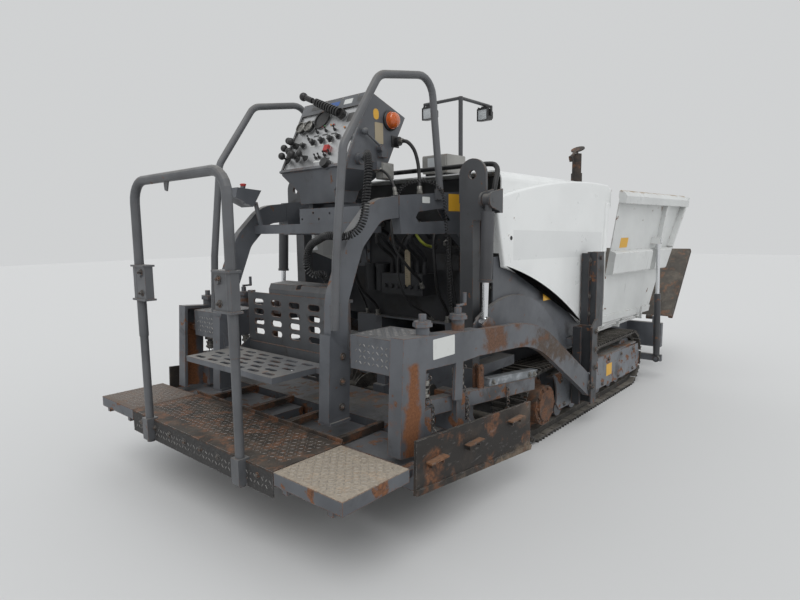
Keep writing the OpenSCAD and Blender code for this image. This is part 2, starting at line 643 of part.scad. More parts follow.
module wing(side) {
  rise = 30;
  rim = wing_h;
  heel = 1080;
  ledge = [455, 660];
  rod_gap = 52;
  outline = [[0, rise], [heel, rise], [heel + 100, ledge[0] + 15], [heel + 185, ledge[1]], [wing_l, rim], [0, rim]];
  color(paint_white) on_side(side) {
    wing_frame() {
      side_plate(outline, 0, sheet_t);
      // Rim beam with its sloped cap
      translate([0, 0, rim - 90]) rotate([90, 0, 90]) linear_extrude(wing_l)
        polygon([[-10, 60], [-10, 90], [0, 100], [40, 84], [62, 60], [62, 0], [7, 0]]);
      // Ledge along the outside and the toe plate under it, with a gap for the cylinder
      difference() {
        union() {
          intersection() {
            side_plate(outline, 6, 80);
            rotate([90, 0, 90]) linear_extrude(wing_l)
              polygon([[6, ledge[0]], [56, ledge[0] + 10], [62, ledge[0] + 22], [58, ledge[1] - 16], [48, ledge[1] - 6], [6, ledge[1]]]);
          }
          box([0, 7, rise], [heel, 22, rise + 60]);
        }
        box([wing_cyl_x - wing_x - rod_gap, 8, 0], [wing_cyl_x - wing_x + rod_gap, 90, ledge[1] + 10]);
      }
      // Outer rib over the ledge
      box([950, 7, ledge[1] - 2], [1000, 46, rim - 80]);
      // Front lip
      side_plate([[heel + 160, ledge[1] + 15], [heel + 185, ledge[1]], [wing_l, rim], [wing_l - 30, rim]], 7, 60);
    }
    // Flange from the hinge line out to the sheet
    translate([0, 0, wing_z + 20]) linear_extrude(16)
      polygon([[wing_x, wing_y - 12], [wing_x + heel, wing_y - 12], [wing_x + heel, wing_y + heel * tan(wing_flare) + 6], [wing_x, wing_y + 6]]);
    for (x = wing_knuckles) difference() {
      translate([x, wing_y, wing_z]) rotate([0, 90, 0]) cylinder(d = 50, h = 80);
      translate([x - 1, wing_y, wing_z]) rotate([0, 90, 0]) cylinder(d = 30 + pin_gap, h = 82);
    }
    // Lug and pin of the cylinder's rod
    for (x = [wing_cyl_x - 34, wing_cyl_x + 22]) box([x, wing_eye_y - 60, wing_eye_z - 30], [x + 12, wing_eye_y + 24, wing_eye_z + 30]);
    translate([wing_cyl_x - 33, wing_eye_y, wing_eye_z]) rotate([0, 90, 0]) cylinder(d = wing_pin, h = 66);
  }
}

// Frame of the wing's cylinder: origin at its foot, Z along the rod
module wing_cyl_frame() {
  translate([wing_cyl_x, wing_foot_y, wing_foot_z])
    rotate([atan2(wing_foot_y - wing_eye_y, wing_eye_z - wing_foot_z), 0, 0]) children();
}

module wing_cylinder(side) {
  color(paint_grey) on_side(side) wing_cyl_frame() difference() {
    union() {
      cylinder(d = 34, h = 60);
      translate([0, 0, 42]) cylinder(d = 58, h = 578);
      translate([-18, 0, 0]) rotate([0, 90, 0]) cylinder(d = 62, h = 36);
    }
    translate([-19, 0, 0]) rotate([0, 90, 0]) cylinder(d = 30 + pin_gap, h = 38);
    translate([0, 0, 60]) cylinder(d = 34 + pin_gap, h = 561);
  }
}

module wing_rod(side) {
  color(bare_steel) on_side(side) wing_cyl_frame() difference() {
    union() {
      translate([0, 0, 64]) cylinder(d = 34, h = wing_cyl_len - 90);
      translate([-18, 0, wing_cyl_len]) rotate([0, 90, 0]) cylinder(d = wing_pin + 2 * wing_play + 22, h = 36);
    }
    translate([-19, 0, wing_cyl_len]) rotate([0, 90, 0]) cylinder(d = wing_pin + 2 * wing_play + 2, h = 38);
  }
}

module hopper_base() {
  under = frame_top + seat_gap;
  color(paint_white) {
    difference() {
      cross_plate([[-wing_y, floor_z - 1], [wing_y, floor_z - 1], [cover_y, hood_z - 40], [-cover_y, hood_z - 40]], hopper_x, hopper_x + hopper_t);
      for (s = [-1, 1]) on_side(s) box([hopper_x - 1, 15, floor_z], [hopper_x + hopper_t + 1, tunnel_w / 2 - 5, deck_z - 10]);
    }
    box([hopper_x, -wing_y + 40, under], [chassis_front, wing_y - 40, floor_z]);
    // Hinge lines of the wings
    for (s = [-1, 1]) on_side(s) {
      translate([wing_x + 8, wing_y, wing_z]) rotate([0, 90, 0]) cylinder(d = 30, h = 1170);
      for (x = [680, 1200, 1830]) {
        box([x, wing_y - 60, under], [x + 20, wing_y + 12, floor_z]);
        box([x, wing_y - 12, under], [x + 20, wing_y + 12, wing_z]);
      }
    }
  }
}

// Two slat conveyors side by side, each with its pair of chains
module conveyor() {
  rear = bulkhead_x - 60;
  out_y = tunnel_w / 2 - 20;
  front = chassis_front - 30;
  color(paint_dark) for (s = [-1, 1]) on_side(s) {
    box([hopper_x + 12, 20, floor_z + seat_gap], [front, out_y, floor_z + 10]);
    box([rear, 20, frame_top + seat_gap], [hopper_x - 1, out_y, floor_z + 10]);
    box([hopper_x - 2, 20, floor_z + 1], [hopper_x + 13, out_y, floor_z + 10]);
    for (x = [rear + 30 : 120 : front - 30]) box([x, 30, floor_z + 9], [x + 20, out_y - 10, floor_z + 22]);
    for (y = [46, out_y - 34]) box([rear + 6, y, floor_z + 9], [front - 6, y + 8, floor_z + 17]);
  }
}

module hopper_flap() {
  half = flap_w / 2;
  color(paint_dark) translate([flap_x, 0, flap_z]) rotate([0, flap_lean, 0]) {
    box([-6, -half, 26], [6, half, flap_l]);
    for (y = [-half, -330, 290, half - 40]) box([5, y, 30], [40, y + 40, flap_l]);
    box([5, -half, flap_l - 40], [40, half, flap_l]);
    for (y = flap_lugs) difference() {
      union() {
        translate([0, y, 0]) rotate([-90, 0, 0]) cylinder(d = 46, h = 60);
        box([-6, y, 0], [6, y + 60, 40]);
      }
      translate([0, y - 1, 0]) rotate([-90, 0, 0]) cylinder(d = 30 + pin_gap, h = 62);
    }
  }
}

module push_beam() {
  face = chassis_front + 60;
  color(paint_grey) {
    box([chassis_front + seat_gap, -900, 235], [face, 900, 480]);
    for (s = [-1, 1]) on_side(s) {
      for (y = [50, 700]) box([face - 1, y - 10, 310], [2240, y + 10, 430]);
      pin(2205, 370, 40, 45, 705);
    }
    // Lugs and pins of the flap
    for (y = flap_lugs) {
      box([flap_x - 16, y - 44, 479], [flap_x + 16, y - 4, flap_z]);
      pin(flap_x, flap_z, 30, y - 44, y + 62);
    }
  }
}

module push_roller(side) {
  color(bare_steel) on_side(side) difference() {
    pin(2205, 370, push_d, 72, 678);
    pin(2205, 370, 40 + pin_gap, 71, 679);
  }
}

// Tow arm with the side frame of the screed at its rear end
module tow_arm(side) {
  in_y = arm_y - 80;
  front = arm_rear + 20;
  color(paint_grey) on_side(side) {
    difference() {
      union() {
        side_plate(band([[arm_rear, arm_rear_z], [-890, 821], [tow_x, tow_z]], arm_bend, arm_d), arm_y - arm_t, arm_y);
        pin(tow_x, tow_z, arm_d + 10, arm_y - arm_t, arm_y);
      }
      pin(tow_x, tow_z, 40 + pin_gap, arm_y - arm_t - 1, arm_y + 1);
    }
    // Side frame: rear post, top beam and front post
    side_plate([[-2178, 425], [-2010, 400], [-1985, 800], [-1745, 790], [-1760, 600], [-1690, 590], [-1680, 785],
      [front, 790], [front, 928], [-2145, 972]], arm_y - 16, arm_y);
    side_plate([[-2178, 425], [-2158, 424], [-2125, 970], [-2145, 972]], in_y, arm_y);
    side_plate([[-2145, 972], [-2145, 952], [front, 908], [front, 928]], in_y, arm_y);
    // Lug and pin of the lift cylinder's rod
    for (y = [lift_y - 36, lift_y + 24]) side_plate(concat([[lift_foot_x + 60, 840], [lift_foot_x + 60, lift_foot_z]],
      arc([lift_foot_x, lift_foot_z], 36, 60, 120, 6), [[lift_foot_x - 60, lift_foot_z], [lift_foot_x - 60, 840]]), y, y + 12);
    box([lift_foot_x - 60, lift_y - 36, 830], [lift_foot_x + 60, arm_y - arm_t + 1, 852]);
    pin(lift_foot_x, lift_foot_z, lift_pin, lift_y - 37, lift_y + 37);
    // Spindles of the screed's height with their caps, nuts and cranks
    for (x = spindle_x) {
      rod([x, spindle_y, 650], [x, spindle_y, 1000], 36);
      rod([x, spindle_y, 740], [x, spindle_y, 775], 56);
      rod([x, spindle_y, 925], [x, spindle_y, 1000], 66);
      translate([x, spindle_y, 999]) cylinder(d = 96, h = 18, $fn = 6);
      rod([x, spindle_y, 1016], [x, spindle_y, 1026], 84);
      translate([x, spindle_y, 1025]) cylinder(d = 38, h = 34, $fn = 6);
    }
    rod([spindle_x[1], spindle_y, 1050], [spindle_x[1], spindle_y, 1075], 18);
    rod([spindle_x[1] - 5, spindle_y, 1068], [spindle_x[1] + 66, spindle_y, 1068], 14);
    rod([spindle_x[1] + 60, spindle_y, 1064], [spindle_x[1] + 60, spindle_y, 1130], 20);
    // Tread box between the side frame and the stand, on its bearers
    box([-2100, 610, 775], [-1800, 885, 945]);
    for (x = [-2080, -1850]) box([x, 884, 800], [x + 40, arm_y - 15, 835]);
    box([-2052, in_y - 1, 800], [-2012, arm_y - 15, 860]);
  }
}

function sole_z(x) = sole_rear.y + (x - sole_rear.x) * (sole_front.y - sole_rear.y) / (sole_front.x - sole_rear.x);
module screed_frame() {
  color(paint_grey) {
    // Main box of the screed with the bores of its two guide tubes
    difference() {
      side_plate([[main_rear, sole_z(main_rear)], [main_front - 20, sole_z(main_front - 20)], [main_front - 20, 250],
        [main_front, 300], [main_front - 60, main_top], [main_rear, main_top]], -900, 900);
      for (i = [0, 1]) on_side(i == 0 ? 1 : -1) pin(slide_x[i], slide_z, 50 + pin_gap, -700, 901);
    }
    for (s = [-1, 1]) on_side(s) {
      // Lower beam of the side frame
      side_plate([[-2010, 560], [-830, 440], [-830, 520], [-2010, 640]], 900, 960);
      box([-1720, 840, main_top - 1], [-1640, arm_y - 16 - seat_gap, 620]);
      box([-2010, 900, 410], [-1930, arm_y - 16 - seat_gap, 600]);
      box([-1500, 840, main_top - 20], [-1440, 901, 560]);
    }
  }
}

module walkway() {
  notch = 34;
  color(paint_rust) difference() {
    union() {
      box([walk_x, -walk_mid, walk_z - 6], [walk_x + walk_d, walk_mid, walk_z]);
      box([walk_x, -walk_mid, 312], [walk_x + 6, walk_mid, walk_z - 5]);
      box([walk_x + walk_d - 8, -walk_mid, walk_z - 30], [walk_x + walk_d, walk_mid, walk_z + 22]);
      for (y = [-600, -200, 170, 570]) box([walk_x + 5, y, 392], [main_rear - seat_gap, y + 30, walk_z - 5]);
    }
    for (s = [-1, 1]) on_side(s) box([walk_x - 1, rail_y - notch, 300], [walk_x + notch_d, rail_y + notch, walk_z + 1]);
  }
}

// Rear rail: a bent upper tube that slides over two posts and is held by a clamp on each
module rear_rail() {
  x = walk_x - 8;
  clamp_z = [1104, 1284];
  color(paint_grey) {
    translate([x, 0, 0]) rotate([90, 0, 90])
      tube([[-rail_y, 900], [-rail_y, rail_z], [rail_y, rail_z], [rail_y, 900]], 110, rail_d);
    for (s = [-1, 1]) on_side(s) {
      rod([x, rail_y, 305], [x, rail_y, 950], post_d);
      // Clamp: a flat box with a rim at each end and its screw
      box([x - 22, rail_y - 104, clamp_z[0]], [x + 22, rail_y + 30, clamp_z[1]]);
      for (z = clamp_z) box([x - 32, rail_y - 108, z - 5], [x + 32, rail_y + 36, z + 5]);
      rod([x - 34, rail_y - 62, clamp_z[1] - 48], [x + 30, rail_y - 62, clamp_z[1] - 48], 22);
      box([x - 30, rail_y - 30, 320], [walk_x + notch_d - seat_gap, rail_y + 30, 440]);
    }
    // Lug of the emergency cord under the top bar
    cross_plate([[60, rail_z - 10], [108, rail_z - 10], [100, rail_z - 62], [80, rail_z - 68]], x - 4, x + 4);
  }
}

module extension(side) {
  out_y = gate_y - gate_t - seat_gap;
  tube_x = slide_x[side > 0 ? 0 : 1];
  color(paint_grey) on_side(side) {
    side_plate([[-2160, sole_z(-2160)], [-1875, sole_z(-1875)], [-1875, 385], [-2150, 385]], 60, out_y);
    // End plate and guide tube
    side_plate([[-2100, 300], [tube_x + 32, 300], [tube_x + 32, 385], [-2100, 385]], 910, 955);
    pin(tube_x, slide_z, 50, 40, 911);
    // Outer walkway on its bracket
    difference() {
      box([walk_x, walk_mid + 8, walk_z - 60], [walk_x + walk_d - 20, gate_y, walk_z]);
      box([walk_x + 6, walk_mid + 14, walk_z - 61], [walk_x + walk_d - 26, gate_y - 6, walk_z - 6]);
    }
    for (y = [walk_mid + 60, gate_y - 90]) box([walk_x + 5, y, 350], [-2149, y + 30, 384]);
    for (y = [walk_mid + 60, gate_y - 90]) box([walk_x + 5, y, 383], [walk_x + walk_d - 22, y + 30, walk_z - 5]);
  }
}

// End gate with its stiffened upper edge and the foot tabs
module end_gate(side) {
  color(paint_rust) on_side(side) {
    side_plate([sole_rear, sole_front, [sole_front.x, 470], [-2190, 540]], gate_y - gate_t, gate_y);
    side_plate([[-2200, 300], sole_rear, sole_front, [sole_front.x + 6, 200], [sole_front.x + 6, 214], [-2200, 320]],
      gate_y - 1, gate_y + 8);
    for (t = [[-2130, 420], [-1830, 410], [-1420, 420]]) {
      box([t.x, gate_y - 1, t.y], [t.x + 130, gate_y + 38, t.y + 8]);
      for (x = [t.x + 20, t.x + 104]) side_plate([[x, t.y - 24], [x + 6, t.y - 24], [x + 6, t.y + 1], [x, t.y + 1]], gate_y - 1, gate_y + 24);
    }
  }
}

module auger_mount() {
  color(paint_dark) {
    box([-1260, -50, 240], [-1100, 50, 400]);
    box([-1230, -40, 399], [-1130, 40, frame_top - 10]);
    box([-1230, -40, 420], [bulkhead_x - 40 - seat_gap, 40, frame_top - 10]);
    pin(auger_x, auger_z, 30, -150, 150);
  }
}

// Auger: a tube with one helical flight, drawn as a twisted sector
module auger(side) {
  pitch = 260;
  root = 27;
  wide = 5.5;
  length = 760;
  rim = auger_d / 2 - 8;
  color(paint_rust) on_side(side) difference() {
    union() {
      rod([auger_x, 52, auger_z], [auger_x, 860, auger_z], 60);
      translate([auger_x, 75, auger_z]) rotate([-90, 0, 0])
        linear_extrude(height = length, twist = length / pitch * 360, slices = 60, segments = 5)
          polygon([root * [cos(wide), -sin(wide)], rim * [cos(wide), -sin(wide)], [rim, 0],
            rim * [cos(wide), sin(wide)], root * [cos(wide), sin(wide)]]);
    }
    pin(auger_x, auger_z, 30 + pin_gap, 51, 152);
  }
}

// Gooseneck: a folded post in a sleeve, bent forward into a box beam with an opening in its sides
module gooseneck(side) {
  post_t = neck_t - 8;
  front_box = [[-1622, 1540], [-1608, 1433], [-1077, 1426], [-919, 1310], [-862, 1330], [-862, 1704], [-1622, 1646]];
  opening = [[-1479, 1527], [-1454, 1499], [-1137, 1509], [-1209, 1585], [-1453, 1559]];
  color(paint_grey) on_side(side) {
    side_plate(band([[-2118, 500], [-2082, 1110], [-1960, 1400], [-1790, 1565], [-1610, 1583]], 180, neck_d),
      neck_y - post_t / 2, neck_y + post_t / 2);
    // Sleeve over the foot of the post, its top cut at a slant
    side_plate([[-2192, 492], [-2048, 492], [-2034, 838], [-2098, 872], [-2168, 940]],
      neck_y - neck_t / 2 - sleeve_t, neck_y + neck_t / 2 + sleeve_t);
    side_plate([[-2188, 480], [-2052, 480], [-2052, 493], [-2188, 493]], neck_y - neck_t / 2 - 20, neck_y + neck_t / 2 + 20);
    difference() {
      side_plate(front_box, neck_y - neck_t / 2, neck_y + neck_t / 2);
      side_plate(opening, neck_y - neck_t, neck_y + neck_t);
      side_plate([[-1590, 1540], [-1590, 1450], [-1068, 1442], [-913, 1330], [-885, 1340], [-885, 1600]],
        neck_y - neck_t / 2 + sheet_t, neck_y + neck_t / 2 - sheet_t);
    }
    // Flange on the bulkhead
    box([-863, neck_y - 60, 1180], [bulkhead_x - seat_gap, neck_y + 60, 1700]);
    side_plate([[-863, 1185], [-862, 1331], [-880, 1331]], neck_y - neck_t / 2, neck_y + neck_t / 2);
  }
}

module hand_rail(side) {
  y = neck_y + neck_t / 2 + hand_d / 2 + 1;
  color(paint_grey) on_side(side) {
    tube_side([[-2145, 964], [-2126, 1312], [-2060, 1870], [-1792, 2253], [-1356, 2330], [-1277, 1692]], 110, hand_d, y);
    for (p = [[-2138, 1090], [-1280, 1692]]) box([p.x - 20, neck_y + neck_t / 2 + seat_gap, p.y - 60], [p.x + 40, y, p.y]);
  }
}

// Cross bars between the goosenecks and the bearers of the console
module neck_beam() {
  in_y = neck_y - neck_t / 2 - seat_gap;
  post_y = in_y + 4;
  color(paint_grey) {
    difference() {
      box([-1870, -in_y + 2, 1490], [-1858, 30, 1584]);
      for (b = [[-90, 1558], [9, 1524], [-138, 1521], [-230, 1552]])
        translate([-1871, b.x, b.y]) rotate([0, 90, 0]) cylinder(d = 15, h = 14);
    }
    box([-1880, -post_y, 1442], [-1800, post_y, 1498]);
    box([-1520, -in_y, 1550], [-1440, in_y, 1610]);
    rod([thin_gland.x, thin_gland.y, 1609], thin_gland, 40);
    box([-1700, -230, 1440], [-1450, 230, 1481]);
    box([-1801, -230, 1450], [-1699, 230, 1481]);
    for (s = [-1, 1]) on_side(s) {
      box([-1700, 110, 1480], [-1500, 150, 1620]);
      side_plate([[-1800, 1480], [-1699, 1480], [-1699, 1600]], 110, 122);
    }
    // Control box over the left gooseneck on its bracket
    side_plate([[-1880, 1497], [-1868, 1497], [-1904, 1640], [-1990, 1640], [-1990, 1628], [-1914, 1628]], 395, 425);
    side_plate([[-2044, 1724], [-2059, 1665], [-1937, 1610], [-1873, 1712]], 394, 522);
    rod([-1968, 460, 1710], [-1960, 460, 1740], 30);
  }
}

// Frame on the console's sloped face: origin in the middle of its lower edge, X to the right, Y up the face
module panel_frame() {
  translate([panel_low.x, 0, panel_low.y]) rotate([0, panel_tilt, 0]) rotate([90, 0, -90]) children();
}

// Operator's console: a folded box over a tapered foot, with its controls on the sloped face
module console() {
  foot_z = 1620 + seat_gap;
  foot_y = console_y - 130;
  outline = [[-1752, foot_z], panel_low, panel_high, [-1283, 2139], [-1351, 2021], [-1440, 1862], [-1560, 1700], [-1600, foot_z]];
  inner = console_y - 16;
  // Columns: place across the face, place up it, diameter, height
  knobs = [[-161, 178, 26, 22], [-76, 190, 30, 24], [1, 194, 30, 24], [76, 196, 30, 24], [136, 205, 22, 18],
    [239, 187, 30, 24], [239, 76, 34, 28], [250, 250, 18, 12], [256, 335, 18, 12]];
  toggles = [[-71, 262], [7, 262], [84, 260], [3, 76], [33, 78], [73, 88], [115, 94], [-130, 220]];
  sticks = [[-250, 190, 42], [-225, 182, 46], [-268, 140, 44], [-262, 84, 44], [-168, 84, 50], [-205, 110, 46], [-96, 84, 40]];
  color(paint_grey) {
    intersection() {
      side_plate(outline, -console_y, console_y);
      cross_plate([[-console_y, 2260], [-console_y, 1800], [-foot_y, 1690], [-foot_y, 1600], [foot_y, 1600],
        [foot_y, 1690], [console_y, 1800], [console_y, 2260]], -1900, -1200);
    }
    // Lip round the panel and the raised band along its upper edge
    panel_frame() {
      difference() {
        translate([-console_y - 2, 0, -1]) cube([2 * console_y + 4, panel_h, 13]);
        translate([-inner, 16, -2]) cube([2 * inner, panel_h - 100, 16]);
      }
      translate([-console_y - 6, -3, -1]) cube([2 * console_y + 12, 12, 17]);
    }
    // Seat of the beacon, cable gland block and clamp on the right side
    pin(beacon_x, beacon_z, beacon_d + 14, -console_y - 6, -console_y + 1);
    box([-1590, -console_y - 46, 1802], [-1500, -console_y + 1, 1850]);
    pin(thick_gland.x, thick_gland.y, 64, -console_y - 24, -console_y + 1);
    box([-1530, -console_y - 30, 1880], [-1480, -console_y + 1, 1930]);
  }
  color(bare_steel) panel_frame() translate([-inner, 16, -1]) cube([2 * inner, panel_h - 100, 4]);
  color(paint_dark) {
    panel_frame() {
      for (k = knobs) translate([k[0], k[1], 2]) {
        cylinder(d = k[2] + 6, h = 4);
        cylinder(d = k[2], h = k[3]);
      }
      for (t = toggles) translate([t.x, t.y, 2]) {
        cylinder(d = 16, h = 5);
        rotate([-25, 0, 0]) cylinder(d = 6, h = 26);
      }
      // Two round gauges in their rims
      for (x = [-232, -158]) translate([x, 306, 2]) difference() {
        cylinder(d = 68, h = 26);
        translate([0, 0, 20]) cylinder(d = 58, h = 7);
      }
      // Cluster of joysticks with ball grips
      for (j = sticks) translate([j.x, j.y, 2]) {
        cylinder(d1 = 44, d2 = 20, h = 22);
        cylinder(d = 12, h = 52);
        translate([0, 0, 58]) sphere(d = j[2]);
      }
      // Dial under the long lever
      translate([-66, 350, 2]) difference() {
        cylinder(d = 128, h = 14);
        translate([0, 0, 9]) cylinder(d = 108, h = 6);
      }
      // Long lever that lies in its ribbed boot, pointing up to the left
      translate([112, 352, 2]) {
        cylinder(d = 60, h = 30);
        translate([0, 0, 26]) rotate([-20, -76, 0]) {
          cylinder(d = 22, h = 330);
          for (i = [0 : 9]) translate([0, 0, 8 + i * 22]) cylinder(d = 56 - i, h = 12);
          translate([0, 0, 250]) cylinder(d = 34, h = 60);
          translate([0, 0, 336]) sphere(d = 52);
        }
      }
      translate([131, 18, 2]) cylinder(d = 60, h = 40);
    }
    // Clamp lever on the right side
    rod([-1660, -console_y - 24, 2012], [-1524, -console_y - 24, 1937], 12);
    translate([-1660, -console_y - 24, 2012]) sphere(d = 40);
    rod([-1530, -console_y - 40, 1930], [-1530, -console_y + 1, 1930], 34);
  }
  color("red") panel_frame() translate([62, 108, 2]) cube([38, 38, 22]);
}

module beacon() {
  color("orange") translate([beacon_x, -console_y - 6 - seat_gap, beacon_z]) rotate([90, 0, 0]) rotate_extrude()
    polygon(concat([[0, 0], [beacon_d / 2, 0], [beacon_d / 2, 12], [beacon_d / 2 - 4, 14]],
      [for (a = [0 : 15 : 75]) [(beacon_d / 2 - 5) * cos(a), 30 + 28 * sin(a)]], [[0, 58]]));
}

// Perforated step with its turned-down lips
module step() {
  arm_out = neck_y - neck_t / 2 - sleeve_t - seat_gap;
  rear = -2427;
  front = -2080;
  color(paint_grey) {
    difference() {
      box([rear, -step_y, step_z - 30], [front, step_y, step_z]);
      box([rear + 6, -step_y + 6, step_z - 31], [front - 6, step_y - 6, step_z - 6]);
      for (i = [0 : 4], j = [0 : 5 - i % 2])
        translate([rear + 42 + i * 62, (j - 2.5 + (i % 2) / 2) * 128, step_z - 7]) linear_extrude(8) slot_2d(86, 30);
    }
    for (y = [-200, 0, 200]) box([rear + 5, y - 3, step_z - 28], [front - 5, y + 3, step_z - 5]);
    for (s = [-1, 1]) on_side(s) {
      box([-2150, step_y - 1, step_z - 30], [front, arm_out, step_z]);
      side_plate([[-2150, step_z - 31], [-2151, step_z - 29], [-2151, step_z + 90], [-2081, step_z - 29]], arm_out - 10, arm_out);
    }
  }
}

// Perforated riser behind the step, the box on top of it and the slanted guard under the step
module step_guard() {
  in_y = neck_y - neck_t / 2 - sleeve_t - seat_gap;
  riser_x = -1960;
  low = [-2000, 620];
  tilt = -33;
  color(paint_grey) {
    difference() {
      box([riser_x, -in_y, 770], [riser_x + 10, in_y, 1082]);
      for (i = [0 : 4], j = [0 : 3])
        translate([riser_x - 1, (i - 2) * 175, 838 + j * 62]) rotate([90, 0, 90]) linear_extrude(12) rotate(90) slot_2d(100, 36);
    }
    for (s = [-1, 1]) on_side(s) box([riser_x - 1, in_y - 40, 1075], [riser_x + 30, in_y, 1090]);
    // Box behind the riser with its chamfered lid and a notch in it
    difference() {
      side_plate([[riser_x + 9, 1040], [riser_x + 9, 1110], [riser_x + 25, 1142], [riser_x + 150, 1150], [riser_x + 150, 1040]], -270, 250);
      box([riser_x + 8, -45, 1118], [riser_x + 60, -5, 1151]);
    }
    rod([thick_end.x, thick_end.y, 1140], thick_end, 64);
    // Side plates down to the guard under the step
    for (s = [-1, 1]) on_side(s) side_plate([[-2066, 640], [-1998, 614], [riser_x + 10, 700], [riser_x + 10, 800], [-2066, 718]], in_y - 8, in_y);
    translate([low.x, 0, low.y]) rotate([0, tilt, 0]) difference() {
      translate([0, -in_y, 0]) cube([6, 2 * in_y, 112]);
      for (i = [0 : 4], j = [0 : 1])
        translate([-1, (i - 2) * 175 + (j - 0.5) * 60, 34 + j * 50]) rotate([90, 0, 90]) linear_extrude(8) rotate(90) slot_2d(90, 26);
    }
    box([riser_x - 6, -in_y, 690], [riser_x + 10, in_y, 771]);
    box([-2064, -in_y, 700], [riser_x, in_y, 706]);
  }
}

module light_mast() {
  color(paint_dark) {
    rod([mast_x, 0, hood_z + seat_gap], [mast_x, 0, mast_z + 10], 34);
    rod([mast_x, 0, mast_z], [mast_x, lamp_y + 60, mast_z], bar_d);
    rod([mast_x, 0, mast_z], [lamp_x + 60, 0, mast_z], bar_d);
    box([mast_x - 50, -50, hood_z + seat_gap], [mast_x + 50, 50, hood_z + 10]);
    for (a = [0 : 90 : 270]) translate([mast_x, 0, hood_z + 9]) rotate(a) translate([15, -3, 0])
      rotate([90, 0, 0]) mirror([0, 0, 1]) linear_extrude(6) polygon([[0, 0], [26, 0], [0, 60]]);
  }
}

// Two work lamps that look back, each a tapered housing with a hooded rim, a lens well and a bow
module work_lamps() {
  top = mast_z - bar_d / 2 - seat_gap;
  color(paint_dark) for (at = [[mast_x, lamp_y], [lamp_x, 0]]) translate([at.x, at.y, top]) {
    translate([-22, -24, -14]) cube([44, 48, 14]);
    for (s = [-1, 1]) translate([-12, s > 0 ? 56 : -64, -76]) cube([24, 8, 76]);
    translate([-12, -64, -14]) cube([24, 128, 8]);
    for (s = [-1, 1]) translate([0, s > 0 ? 47 : -57, -68]) rotate([-90, 0, 0]) cylinder(d = 18, h = 10);
    difference() {
      translate([0, 50, 0]) rotate([90, 0, 0]) linear_extrude(100)
        polygon([[-46, -20], [24, -26], [44, -46], [44, -92], [24, -112], [-46, -118]]);
      translate([-47, -43, -111]) cube([12, 86, 84]);
    }
  }
}

// Exhaust stack with its rain cap and the counterweight of the cap
module exhaust() {
  color(paint_dark) translate([stack_x, -stack_y, 0]) {
    translate([0, 0, hood_z + seat_gap]) cylinder(d = 96, h = 14);
    translate([0, 0, hood_z + 10]) cylinder(d = 84, h = 70);
    translate([0, 0, hood_z + 79]) cylinder(d = 70, h = stack_z - hood_z - 79);
    translate([-30, 0, stack_z + 8]) rotate([0, -28, 0]) {
      translate([52, 0, 0]) cylinder(d = 104, h = 8);
      translate([-90, -9, 0]) cube([100, 18, 8]);
      translate([-100, -14, -34]) cube([16, 28, 42]);
      for (y = [-18, 10]) translate([-12, y, -32]) cube([24, 8, 36]);
    }
  }
}

// Coiled cable from the console round the right gooseneck to the box on the riser, as its outer shape
module thick_cable() {
  color(paint_dark) hose(thick_route, thick_d, 2, 10);
}

// Thin coiled cable over the right gooseneck down to the outrigger, as its outer shape
module thin_cable() {
  color(paint_dark) hose(thin_route, thin_d, 2, 8);
}

chassis();
engine_block();
bulkhead();
hood();
track(1);  // track_left
track(-1);  // track_right
track_frame(1);  // track_frame_left
track_frame(-1);  // track_frame_right
sprocket(1);  // sprocket_left
sprocket(-1);  // sprocket_right
side_cover(1);  // side_cover_left
side_cover(-1);  // side_cover_right
fender(1);  // fender_left
fender(-1);  // fender_right
lift_column(1);  // lift_column_left
lift_column(-1);  // lift_column_right
lift_cylinder(1);  // lift_cylinder_left
lift_cylinder(-1);  // lift_cylinder_right
lift_rod(1);  // lift_rod_left
lift_rod(-1);  // lift_rod_right
tow_guide(1);  // tow_guide_left
tow_guide(-1);  // tow_guide_right
hopper_base();
conveyor();
wing(1);  // wing_left
wing(-1);  // wing_right
wing_cylinder(1);  // wing_cylinder_left
wing_cylinder(-1);  // wing_cylinder_right
wing_rod(1);  // wing_rod_left
wing_rod(-1);  // wing_rod_right
hopper_flap();
push_beam();
push_roller(1);  // push_roller_left
push_roller(-1);  // push_roller_right
tow_arm(1);  // tow_arm_left
tow_arm(-1);  // tow_arm_right
screed_frame();
walkway();
rear_rail();
extension(1);  // extension_left
extension(-1);  // extension_right
end_gate(1);  // end_gate_left
end_gate(-1);  // end_gate_right
auger_mount();
auger(1);  // auger_left
auger(-1);  // auger_right
gooseneck(1);  // gooseneck_left
gooseneck(-1);  // gooseneck_right
hand_rail(1);  // hand_rail_left
hand_rail(-1);  // hand_rail_right
neck_beam();
console();
beacon();
step();
step_guard();
light_mast();
work_lamps();
exhaust();
thick_cable();
thin_cable();
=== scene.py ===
"""Small tracked asphalt paver: the looks that go over its solid model."""

import math

import bpy
from bpy.props import FloatProperty, FloatVectorProperty, PointerProperty
from mathutils import Matrix, Vector
from mathutils.bvhtree import BVHTree


